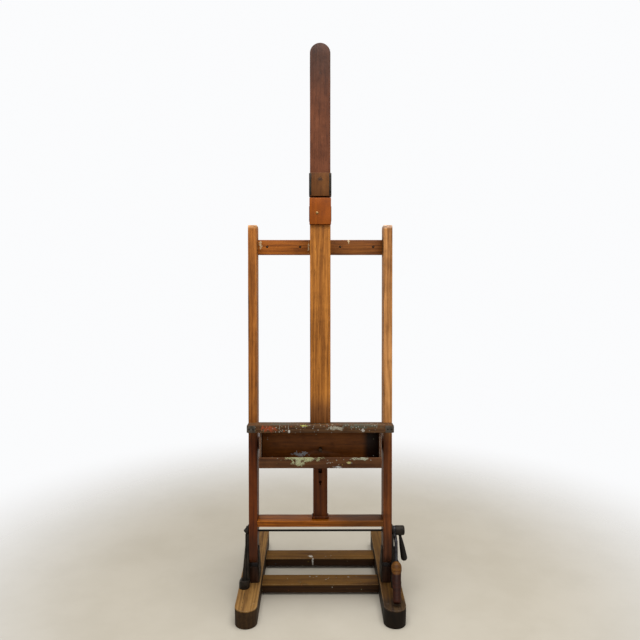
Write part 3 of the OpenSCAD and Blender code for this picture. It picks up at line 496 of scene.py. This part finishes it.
def timber(node, material, leaning=True, arris=0.0018, length_axis=2, shape=None, step=0.06):
    """A worn board in place of a CAD node: its box, its own cuts and rounds, then rubbed arrises."""
    low, high = leaning_box(node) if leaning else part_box(node)
    low, high = Vector(low), Vector(high)
    piece = block("worn_" + node, low, high)
    if shape:
        piece = shape(piece, low, high) or piece
    weather(piece, node, arris, length_axis, step, 0.0007, 0.05)
    smooth(piece)
    return stand(piece, node, material, leaning)


def eased_copy(node, material, arris=0.0006, steps=2, angle=34):
    """A copy of a CAD node with its edges eased."""
    piece = bpy.data.objects.new("worn_" + node, NODES[node].data.copy())
    bpy.context.scene.collection.objects.link(piece)
    pick(piece)
    bpy.ops.object.mode_set(mode="EDIT")
    bpy.ops.mesh.customdata_custom_splitnormals_clear()
    bpy.ops.mesh.select_all(action="SELECT")
    bpy.ops.mesh.remove_doubles(threshold=0.00001)
    bpy.ops.mesh.dissolve_limited(angle_limit=math.radians(0.5))
    bpy.ops.object.mode_set(mode="OBJECT")
    use(piece, "BEVEL", width=arris, segments=steps, limit_method="ANGLE", angle_limit=math.radians(angle),
        use_clamp_overlap=True)
    smooth(piece, angle)
    return stand(piece, node, material, leaning=False)


# ---- finishes ----

def leaning_point(across, back, up):
    """A point given square to the leaning frame, in millimetres, as a place where it leans."""
    return tuple(LEANING @ Vector((across * MM, back * MM, up * MM)))


def mark(across, back, up, reach, colour):
    """A smear for wood(), placed square to the leaning frame."""
    return leaning_point(across, back, up), reach, colour


def base_finishes():
    runner_low, runner_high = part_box("left_runner")
    front_low, front_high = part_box("front_rail")
    rear_low, rear_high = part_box("rear_rail")
    top = runner_high.z
    rail_top = rear_high.z
    dark = (0.012, 0.007, 0.004)
    # drying cracks along the left runner
    cracks = [((runner_low.x + 0.027, runner_low.y + 0.15, top), (0.0013, 0.150, 0.006), dark),
              ((runner_low.x + 0.055, runner_low.y + 0.42, top), (0.0010, 0.200, 0.006), dark)]
    drips = [((-0.045, rear_low.y, rear_low.z + 0.018), (0.004, 0.006, 0.022), (0.70, 0.68, 0.62)),
             ((-0.052, rear_low.y + 0.02, rail_top), (0.012, 0.010, 0.008), (0.70, 0.68, 0.60))]
    specks_at = ((-0.055, 0.066), (-0.028, 0.066), (0.010, 0.040), (0.103, 0.060), (0.018, 0.050))
    specks = [((x, front_low.y + deep, front_high.z), (0.004, 0.003, 0.003), (0.50, 0.48, 0.42))
              for x, deep in specks_at]
    # the sides of the base pieces are painted far darker than their worn tops: partly dark stain, partly
    # painted shade from the light above
    stained_shaded_sides = ((0.16, 0.15, 0.16), 2, top - 0.003, top - 0.007)
    stained_shaded_rail_sides = ((0.24, 0.20, 0.22), 2, rail_top - 0.002, rail_top - 0.006)
    tip_side = ((0.42, 0.46, 0.75), 1, -0.225, -0.285)
    rail = dict(grain="across", wear=0.9, worn=(0.34, 0.25, 0.14), gloss=0.62, fades=[stained_shaded_rail_sides])
    runner = dict(grain="back", wear=0.9, worn=(0.38, 0.27, 0.15), gloss=0.62)
    return {
        "left_runner": wood("left_runner_oak", (0.215, 0.108, 0.028), seed=1, smears=cracks, fades=[stained_shaded_sides],
                            **runner),
        "right_runner": wood("right_runner_oak", (0.112, 0.052, 0.010), seed=21, fades=[tip_side, stained_shaded_sides],
                             **runner),
        "front_rail": wood("front_rail_oak", (0.150, 0.066, 0.010), seed=2, spots=0.3, smears=specks, **rail),
        "rear_rail": wood("rear_rail_oak", (0.120, 0.052, 0.008), seed=3, spots=0.2, smears=drips, **rail),
        # the stub's rubbed edges are pale grey: partly wear, partly a painted highlight along its top front
        # edge
        "stub": wood("stub_wood", (0.036, 0.014, 0.007), seed=4, wear=0.6, worn=(0.16, 0.13, 0.10))}


def frame_finishes():
    bar_low, bar_high = leaning_box("crossbar")
    bar_front = bar_low.y / MM
    bar_mid = (bar_low.z + bar_high.z) / 2 / MM
    bar_top = bar_high.z / MM
    pale = (0.55, 0.42, 0.24)
    bar_marks = [mark(-235, bar_front, bar_mid + 8, (0.006, 0.003, 0.020), pale),
                 mark(-46, bar_front, bar_mid, (0.003, 0.003, 0.030), pale),
                 mark(112, bar_front, bar_top - 6, (0.003, 0.003, 0.012), pale)]
    # the uprights' inner faces are painted black where the crossbar meets them: painted shade in the gap
    crossbar_shade = [mark(side * 245, bar_front + 11, bar_mid, (0.002, 0.055, 0.045), (0.010, 0.006, 0.004))
            for side in (-1, 1)]
    tip_low, tip_high = leaning_box("left_upright")
    left_dot, right_dot = (mark(side * 252, tip_low.y / MM + 5, tip_high.z / MM - 8, (0.005, 0.008, 0.004),
                                (0.012, 0.007, 0.005)) for side in (-1, 1))
    # below the tray the uprights are much darker, and darker again at the foot; their tops are grey
    tip_z = max(vertex.co.z for vertex in NODES["left_upright"].data.vertices)
    low_z = leaning_point(0, 0, leaning_box("tray_ledge")[0].z / MM)[2]
    dim = [((0.355, 0.225, 0.140), 2, low_z + 0.03, low_z - 0.05), ((0.42, 0.44, 0.70), 2, 0.36, 0.23),
           ((1.15, 1.6, 3.2), 2, tip_z - 0.016, tip_z - 0.006)]
    upright = dict(worn=(0.30, 0.21, 0.12), wear=0.55, fades=dim, mottle=0.14)
    return {
        "left_upright": wood("left_upright_oak", (0.325, 0.108, 0.017), seed=5, contrast=1.2,
                             smears=[*crossbar_shade, left_dot], **upright),
        "right_upright": wood("right_upright_oak", (0.410, 0.175, 0.050), seed=6, contrast=1.3,
                              smears=[*crossbar_shade, right_dot], **upright),
        "crossbar": wood("crossbar_wood", (0.290, 0.083, 0.008), grain="across", seed=7, mottle=0.12,
                         smears=bar_marks, fades=[((0.72, 0.80, 1.2), 0, -0.03, 0.05)]),
        "lower_rail": wood("lower_rail_oak", (0.330, 0.092, 0.003), grain="across", seed=8, wear=0.9,
                           fades=[((0.40, 0.44, 0.9), 0, -0.05, 0.14)]),
        "post": wood("post_wood", (0.105, 0.025, 0.002), seed=9, wear=0.35)}


def mast_finishes():
    clip_low, clip_high = leaning_box("clip_block")
    clip_dot = mark(-3, clip_low.y / MM, clip_high.z / MM - 26, (0.012, 0.003, 0.010), (0.030, 0.014, 0.007))
    board_low, board_high = leaning_box("extension_mast")
    plugs = [mark(0, board_low.y / MM, board_high.z / MM - down, (0.0036, 0.003, 0.0036),
                  (0.030, 0.012, 0.006)) for down in (116, 390)]
    foot_z = leaning_point(0, 0, leaning_box("tray_ledge")[1].z / MM)[2]
    return {
        # the mast is painted darker over its lowest 14 cm above the ledge: painted shade
        "mast": wood("mast_oak", (0.345, 0.122, 0.018), seed=10, mottle=0.12, pores=0.9, wear=0.2,
                     contrast=1.2, fades=[((0.46, 0.44, 0.60), 2, foot_z + 0.14, foot_z + 0.05)]),
        "head": wood("head_wood", (0.270, 0.062, 0.002), seed=11, pores=0.3, wear=0.2, contrast=0.5,
                     rings=0.03, mottle=0.25),
        "extension": wood("extension_wood", (0.108, 0.031, 0.010), seed=12, wear=0.4, rings=0.04,
                          mottle=0.28, contrast=1.15, smears=plugs,
                          fades=[((0.50, 0.60, 0.85), 2, 1.90, 2.12)]),
        "clip": wood("clip_wood", (0.108, 0.036, 0.006), seed=13, wear=0.3, rings=0.04, mottle=0.28,
                     smears=[clip_dot])}


def tray_finishes():
    ledge_low, ledge_high = leaning_box("tray_ledge")
    front = ledge_low.y / MM
    top = ledge_high.z / MM
    ledge_smears = [
        mark(-196, front, top - 13, (0.030, 0.012, 0.011), (0.34, 0.065, 0.02)),
        mark(-62, front, top - 1, (0.015, 0.014, 0.006), (0.50, 0.52, 0.14)),
        mark(-118, front, top - 22, (0.005, 0.010, 0.009), (0.62, 0.60, 0.55)),
        mark(58, front, top - 12, (0.032, 0.010, 0.008), (0.40, 0.38, 0.30)),
        mark(150, front + 8, top - 4, (0.075, 0.030, 0.010), (0.075, 0.085, 0.060)),
        mark(160, front, top - 20, (0.007, 0.010, 0.006), (0.60, 0.60, 0.56)),
        mark(-150, front + 30, top, (0.060, 0.022, 0.008), (0.060, 0.070, 0.050))]
    lip_low, lip_high = leaning_box("box_front")
    lip_front = lip_low.y / MM
    lip_top = lip_high.z / MM
    lip_smears = [
        mark(-64, lip_front, lip_top - 4, (0.064, 0.012, 0.012), (0.42, 0.44, 0.24)),
        mark(-84, lip_front, lip_top - 16, (0.022, 0.012, 0.018), (0.42, 0.44, 0.26)),
        mark(63, lip_front, lip_top - 36, (0.020, 0.010, 0.005), (0.58, 0.60, 0.60)),
        mark(150, lip_front, lip_top - 5, (0.030, 0.010, 0.006), (0.40, 0.42, 0.30)),
        mark(108, lip_front, lip_top - 20, (0.008, 0.010, 0.004), (0.52, 0.48, 0.20))]
    box_back = leaning_box("box_back")[0].y / MM
    back_smears = [mark(-75, box_back, lip_top - 2, (0.030, 0.020, 0.010), (0.34, 0.38, 0.42))]
    # the box's right end is painted near black: painted shade in that corner of the box
    right_corner_shade = ((0.10, 0.11, 0.16), 0, 0.145, 0.175)
    return {
        "ledge": wood("ledge_wood", (0.085, 0.038, 0.013), grain="across", seed=14, spots=1.6, mottle=0.2,
                      smears=ledge_smears, wear=0.5, gloss=0.5),
        "box": wood("box_wood", (0.150, 0.045, 0.006), grain="across", seed=15, mottle=0.25, rings=0.04,
                    spots=0.1, smears=back_smears, fades=[right_corner_shade], wear=0.3),
        "lip": wood("lip_wood", (0.086, 0.031, 0.009), mottle=0.15, grain="across", seed=16, spots=0.25,
                    smears=lip_smears, wear=0.7),
        "box_side": wood("box_side_wood", (0.082, 0.029, 0.009), seed=18, wear=1.0,
                         worn=(0.36, 0.32, 0.25))}


def grip_finish():
    """Worn golden on the bulb, dark red-brown below it."""
    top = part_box("lever_grip")[1].z
    grip = wood("grip_wood", (0.128, 0.049, 0.006), grain="across", seed=17, wear=0.1, gloss=0.55,
                fades=[((0.19, 0.085, 0.06), 2, top - 0.028, top - 0.037)])
    return {"grip": grip}


def metal_finishes():
    return {
        "iron": metal("black_iron", (0.009, 0.0070, 0.0050), (0.030, 0.024, 0.017), (0.040, 0.018, 0.010),
                      0.56, 0.35, rim=0.20),
        "steel": metal("lever_steel", (0.013, 0.012, 0.012), (0.050, 0.049, 0.055), (0.05, 0.03, 0.02),
                       0.40, 0.7, rusting=0.25, rim=0.4),
        "handle": metal("handle_iron", (0.0030, 0.0022, 0.0018), (0.009, 0.0065, 0.005),
                        (0.02, 0.009, 0.006), 0.56, 0.1, rim=0.12),
        "brass": metal("worn_brass", (0.20, 0.12, 0.04), (0.42, 0.28, 0.11), (0.10, 0.05, 0.02), 0.45, 0.6),
        "plug": metal("filled_screw", (0.030, 0.014, 0.005), (0.060, 0.028, 0.010), (0.04, 0.02, 0.01),
                      0.7, 0.0),
        "strap": metal("strap_metal", (0.045, 0.036, 0.026), (0.110, 0.094, 0.074), (0.07, 0.035, 0.02),
                       0.56, 0.5, pits=0.8, spots=0.18, rim=0.4)}


# ---- base ----

def make_base(finish):
    rails = {"front_rail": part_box("front_rail"), "rear_rail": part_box("rear_rail")}
    for side in ("left", "right"):
        low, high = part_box(side + "_runner")
        outer = low.x if side == "left" else high.x

        def shape(piece, low, high):
            radius = (high.x - low.x) / 2 - 0.00005
            round_over(piece, lambda mid, along: abs(along.z) > 0.9 and mid.y < low.y + 0.001, radius, 28)
            for rail_low, rail_high in rails.values():
                middle = (rail_low + rail_high) / 2
                drill(piece, (outer, middle.y, middle.z), 0.011, 0.012, "across", steps=40)

        timber(side + "_runner", finish[side + "_runner"], leaning=False, arris=0.0022, length_axis=1,
               shape=shape)
        low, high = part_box(side + "_stub")
        low = Vector((low.x, low.y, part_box(side + "_runner")[1].z))
        stub = block("worn_" + side + "_stub", low, high)
        soften(stub, 0.002)
        smooth(stub)
        stand(stub, side + "_stub", finish["stub"], leaning=False)
    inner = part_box("left_runner")[1].x - 0.0005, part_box("right_runner")[0].x + 0.0005
    for name, (low, high) in rails.items():
        rail = block("worn_" + name, Vector((inner[0], low.y, low.z)), Vector((inner[1], high.y, high.z)))
        weather(rail, name, 0.0025, 0, 0.05, 0.0009, 0.06)
        smooth(rail)
        stand(rail, name, finish[name], leaning=False)


# ---- tilting frame ----

def make_uprights(finish):
    for side in ("left", "right"):
        def shape(piece, low, high):
            half = (high.y - low.y) / 2 - 0.00005
            top_round = 0.017
            round_over(piece, lambda mid, along: abs(along.x) > 0.9 and mid.z > high.z - 0.001, top_round, 10)
            round_over(piece, lambda mid, along: abs(along.x) > 0.9 and mid.z < low.z + 0.001, half, 24)

        timber(side + "_upright", finish[side + "_upright"], arris=0.0022, shape=shape)


def between_uprights(node):
    """A rail's block, cut to reach just into the two uprights."""
    low, high = leaning_box(node)
    left = leaning_box("left_upright")[1].x - 0.0004
    right = leaning_box("right_upright")[0].x + 0.0004
    return block("worn_" + node, Vector((left, low.y, low.z)), Vector((right, high.y, high.z)))


def make_rails(finish):
    bar = between_uprights("crossbar")
    low, high = leaning_box("crossbar")
    bar_front = leaning_box("centre_post")[1].y
    screw_height = low.z + (high.z - low.z) * 0.53
    weather(bar, "crossbar", 0.0018, 0, 0.045, 0.0006, 0.05)
    mast = leaning_box("mast_board")
    inner = leaning_box("right_upright")[0].x
    for x in (mast[1].x + 0.039, inner - 0.036):
        for side in (-1, 1):
            drill(bar, (side * x, bar_front, screw_height), 0.0055, 0.006, "back")
    smooth(bar)
    stand(bar, "crossbar", finish["crossbar"])
    rail = between_uprights("lower_rail")
    weather(rail, "lower_rail", 0.0022, 0, 0.045, 0.0009, 0.05)
    smooth(rail)
    stand(rail, "lower_rail", finish["lower_rail"])


def make_post(finish):
    low, high = leaning_box("centre_post")
    foot = leaning_box("lower_rail")[1].z
    post = block("worn_centre_post", Vector((low.x, low.y, foot)), high)
    soften(post, 0.002)
    pitch = -JOINTS["tray_lift"]["range_m"][0]
    pin_low, pin_high = leaning_box("catch_pin")
    seat = (pin_low.z + pin_high.z) / 2
    depth = 0.023
    for i in range(-2, 7):
        height = seat + i * pitch
        cut(post, block("hole", Vector((-0.0075, low.y - 0.01, height - 0.008)),
                        Vector((0.0075, low.y + depth, height + 0.008))))
    height = seat - 3 * pitch
    cut(post, block("slot", Vector((-0.0025, low.y - 0.01, height - 0.010)),
                    Vector((0.0025, low.y + depth, height + 0.002))))
    drill(post, (0, low.y, height + 0.003), 0.006, 2 * depth, "back")
    smooth(post)
    stand(post, "centre_post", finish["post"])
    eased_copy("post_plinth", finish["post"], arris=0.0025, steps=4)


# ---- tray ----

def make_tray(finish):
    low, high = leaning_box("tray_ledge")
    inner = leaning_box("right_upright")[0].x - 0.005

    def shape(piece, low, high):
        for side in (-1, 1):
            near, far = sorted((side * inner, side * (high.x + 0.01)))
            cut(piece, block("notch", Vector((near, -0.0032, low.z - 0.01)),
                             Vector((far, high.y + 0.01, high.z + 0.01))))

    timber("tray_ledge", finish["ledge"], arris=0.0022, length_axis=0, shape=shape, step=0.03)
    timber("box_front", finish["lip"], arris=0.0016, length_axis=0, step=0.04)
    timber("box_bottom", finish["box"], arris=0.0012, length_axis=0, step=0.05)
    timber("rear_batten", finish["box"], arris=0.002, length_axis=0, step=0.05)
    for node in ("box_back", "upper_guide_block", "lower_guide_block"):
        eased_copy(node, finish["box"], arris=0.001)
    for side in ("left", "right"):
        eased_copy(side + "_box_side", finish["box_side"], arris=0.001)


# ---- mast ----

def make_mast(finish):
    head_low, head_high = leaning_box("head_block")
    ledge_top = leaning_box("tray_ledge")[1].z
    low, high = leaning_box("mast_board")
    board = block("worn_mast_board", Vector((low.x, low.y, ledge_top + 0.0002)), high)
    cut(board, block("step", Vector((low.x - 0.01, low.y - 0.01, head_low.z - 0.0006)),
                     Vector((high.x + 0.01, head_high.y + 0.0002, high.z + 0.01))))
    weather(board, "mast_board", 0.002, 2, 0.05, 0.0006, 0.05)
    smooth(board)
    stand(board, "mast_board", finish["mast"])
    timber("head_block", finish["head"], arris=0.0015, step=0.03)

    def shape(piece, low, high):
        width = (high.x - low.x) / 2
        round_over(piece, lambda mid, along: abs(along.y) > 0.9 and mid.z > high.z - 0.001,
                   width - 0.00005, 28)
        bolt = leaning_box("mast_bolt")
        x = (bolt[0].x + bolt[1].x) / 2
        top = (bolt[0].z + bolt[1].z) / 2
        bottom = top - 0.26
        slot = block("slot", Vector((x - 0.0045, low.y - 0.01, bottom - 0.0045)),
                     Vector((x + 0.0045, high.y + 0.01, top + 0.0045)))
        round_over(slot, lambda mid, along: abs(along.y) > 0.9, 0.00445, 8)
        cut(piece, slot)

    timber("extension_mast", finish["extension"], arris=0.0018, shape=shape, step=0.05)
    timber("clip_block", finish["clip"], arris=0.0012, step=0.03)


# ---- turned and cast pieces ----

def curve_through(points, count):
    """Points on a smooth curve through the given ones (Catmull-Rom), without overshoot at its ends."""
    padded = [points[0], *points, points[-1]]
    out = []
    for i in range(1, len(padded) - 2):
        a, b, c, d = (Vector(p) for p in padded[i - 1:i + 3])
        for step in range(count):
            t = step / count
            out.append(0.5 * (2 * b + (c - a) * t + (2 * a - 5 * b + 4 * c - d) * t * t
                              + (3 * b - a - 3 * c + d) * t ** 3))
    out.append(Vector(points[-1]))
    return out


def axis_of(node, downward=True):
    """The line that a round CAD node is turned about: its two ends."""
    points = np.array([vertex.co for vertex in NODES[node].data.vertices], float)
    middle = points.mean(0)
    values, vectors = np.linalg.eigh(np.cov((points - middle).T))
    along = Vector(vectors[:, int(np.argmax(values))])
    if (along.z > 0) == downward:
        along.negate()
    reach = (points - middle) @ np.array(along)
    return Vector(middle) + along * reach.min(), Vector(middle) + along * reach.max()


def turned(node, profile, material, steps=64, ends=None):
    """A lathe-turned piece: profile is (distance from the top end, radius) in millimetres."""
    start, end = ends or axis_of(node)
    mesh = bpy.data.meshes.new("turned_" + node)
    line = curve_through([(p[0], p[1]) for p in profile], 6)
    points = [(max(0.0, radius) * MM, 0, distance * MM) for distance, radius in line]
    mesh.from_pydata(points, [(i, i + 1) for i in range(len(points) - 1)], [])
    piece = bpy.data.objects.new("turned_" + node, mesh)
    bpy.context.scene.collection.objects.link(piece)
    pick(piece)
    bpy.ops.object.mode_set(mode="EDIT")
    bpy.ops.mesh.select_all(action="SELECT")
    bpy.ops.mesh.spin(steps=steps, angle=math.radians(360), center=(0, 0, 0), axis=(0, 0, 1))
    bpy.ops.mesh.select_all(action="SELECT")
    bpy.ops.mesh.remove_doubles(threshold=0.00002)
    bpy.ops.mesh.normals_make_consistent(inside=False)
    bpy.ops.object.mode_set(mode="OBJECT")
    along = (end - start).normalized()
    piece.data.transform(Matrix.Translation(start) @ along.to_track_quat("Z", "Y").to_matrix().to_4x4())
    smooth(piece, 50)
    return stand(piece, node, material, leaning=False)


def make_lever_and_clamp(finish):
    start, end = axis_of("lever_grip")
    length = (end - start).length / MM
    bulb = [(0, 0), (0, 7), (0.6, 11.6), (2.6, 13.8), (6, 16.2), (12, 18.7), (19, 19.9), (26, 20),
            (33, 19.2), (40, 17.9), (44, 17.3)]
    shaft = [(47, 17.6), (50, 17.2), (66, 17.0), (90, 16.3), (112, 15.5), (126, 15.1)]
    butt = [(length - 15, 15.3), (length - 9, 15.4), (length - 3.2, 14.6), (length - 0.8, 12.2), (length, 8),
            (length, 0)]
    turned("lever_grip", bulb + shaft + butt, finish["grip"])
    start, end = axis_of("clamp_handle")
    length = (end - start).length / MM
    shank = [(0, 0), (0, 4.2), (0.4, 4.9), (10.6, 4.9), (11.4, 6.2), (13, 6.2), (15.4, 5.8)]
    taper = [(22, 6.4), (48.5, 9.3), (80, 11.6), (length - 17, 12.7), (length - 12, 12.8)]
    tip = [(length - 7, 11.8), (length - 3, 9.0), (length - 0.8, 5.2), (length, 2), (length, 0)]
    turned("clamp_handle", shank + taper + tip, finish["handle"], steps=48)


# ---- ironwork ----

EASED_IRON = {
    "left_quadrant": 0.0007, "right_quadrant": 0.0007, "left_stay": 0.0007, "left_shoe": 0.0030,
    "right_shoe": 0.0030, "left_cheeks": 0.0006, "right_cheeks": 0.0006, "clamp_boss": 0.0014,
    "rod_nut": 0.0006, "rod_washers": 0.0005, "foot_pivots": 0.0008, "stub_bolts": 0.0008,
    "rail_bolts": 0.0008,
    "upper_keeper": 0.0005, "lower_keeper": 0.0005, "mast_keeper": 0.0005, "clip_strap": 0.0006,
    "catch_plate": 0.0006, "catch_pin": 0.0008, "mast_nut": 0.0008, "clip_thumbscrew": 0.0008}
PLAIN_IRON = ("tie_rod", "shoe_screws", "quadrant_screws", "crossbar_screws", "lower_rail_screws",
              "strap_screws", "keeper_screws", "mast_bolt")
# the nodes among these that have another metal's colour
IRON_TINTS = {"rod_nut": "handle", "tie_rod": "handle", "mast_bolt": "brass", "crossbar_screws": "plug",
              "catch_pin": "plug"}


def make_ironwork(finish):
    for node, arris in EASED_IRON.items():
        eased_copy(node, finish[IRON_TINTS.get(node, "iron")], arris)
    for node, arris in (("lever_arm", 0.0010), ("lever_ferrule", 0.0008)):
        eased_copy(node, finish["steel"], arris)
    for side in ("left", "right"):
        eased_copy(side + "_ledge_strap", finish["strap"], 0.0005)
    for node in PLAIN_IRON:
        NODES[node].data.materials.clear()
        NODES[node].data.materials.append(finish[IRON_TINTS.get(node, "iron")])


# ---- dried paint ----

def paint_blob(place, size, colour_index, facing):
    """One low, lumpy drop of paint on a surface that faces along the given direction."""
    bpy.ops.object.select_all(action="DESELECT")
    bpy.ops.mesh.primitive_ico_sphere_add(subdivisions=2, radius=1)
    drop = bpy.context.object
    for vertex in drop.data.vertices:
        vertex.co *= 1 + 0.22 * random.uniform(-1, 1)
    for polygon in drop.data.polygons:
        polygon.material_index = colour_index
        polygon.use_smooth = True
    turn = Vector(facing).to_track_quat("Z", "Y").to_matrix().to_4x4()
    drop.data.transform(Matrix.Translation(place) @ turn @ Matrix.Diagonal((*size, 1)))
    return drop


def splatter(name, node, paints, spots):
    """Drops of several paints joined as one piece on a node's body; spots are square to the frame."""
    drops = [paint_blob(*spot) for spot in spots]
    piece = join(*drops)
    piece.name = name
    piece.data.transform(LEANING)
    piece.data.materials.clear()
    for paint in paints:
        piece.data.materials.append(paint)
    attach(piece, NODES[node]["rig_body"])


def drop_size(big):
    across = random.uniform(0.0009, big)
    return across, across * random.uniform(0.6, 1.3), random.uniform(0.0003, 0.0007)


def make_paint():
    paints = [dried_paint(f"paint_{i}", colour) for i, colour in enumerate(PAINT_COLOURS)]
    kinds = len(paints)
    low, high = leaning_box("tray_ledge")
    spots = []
    for _ in range(46):
        x = random.uniform(low.x + 0.05, high.x - 0.05)
        if random.random() < 0.55:
            place = Vector((x, low.y + 0.0001, random.triangular(low.z, high.z, high.z)))
            facing = (0, -1, 0)
        else:
            place = Vector((x, random.uniform(low.y + 0.002, low.y + 0.034), high.z - 0.0002))
            facing = (0, 0, 1)
        spots.append((place, drop_size(0.0021), random.randrange(kinds), facing))
    for _ in range(8):
        x = random.uniform(low.x + 0.06, high.x - 0.06)
        run = random.uniform(0.003, 0.009)
        spots.append((Vector((x, low.y + 0.0001, high.z - 0.002 - run)), (0.0009, run, 0.0006),
                      random.randrange(kinds), (0, -1, 0)))
    splatter("ledge_paint", "tray_ledge", paints, spots)
    low, high = leaning_box("box_front")
    spots = []
    for _ in range(16):
        gathered = random.random() < 0.6
        x = random.gauss(-0.06, 0.09) if gathered else random.uniform(low.x + 0.02, high.x - 0.02)
        x = min(max(x, low.x + 0.01), high.x - 0.01)
        place = Vector((x, low.y + 0.0001, random.triangular(low.z + 0.003, high.z - 0.001, high.z - 0.004)))
        spots.append((place, drop_size(0.0018), random.choice((0, 1, 3, 6)), (0, -1, 0)))
    splatter("box_paint", "box_front", paints, spots)


# ---- build ----

place_camera()
light_the_studio()
lay_floor()
finishes = {**base_finishes(), **frame_finishes(), **mast_finishes(), **tray_finishes(), **grip_finish(),
            **metal_finishes()}
make_base(finishes)
make_uprights(finishes)
make_rails(finishes)
make_post(finishes)
make_tray(finishes)
make_mast(finishes)
make_lever_and_clamp(finishes)
make_ironwork(finishes)
make_paint()

bpy.context.view_layer.update()
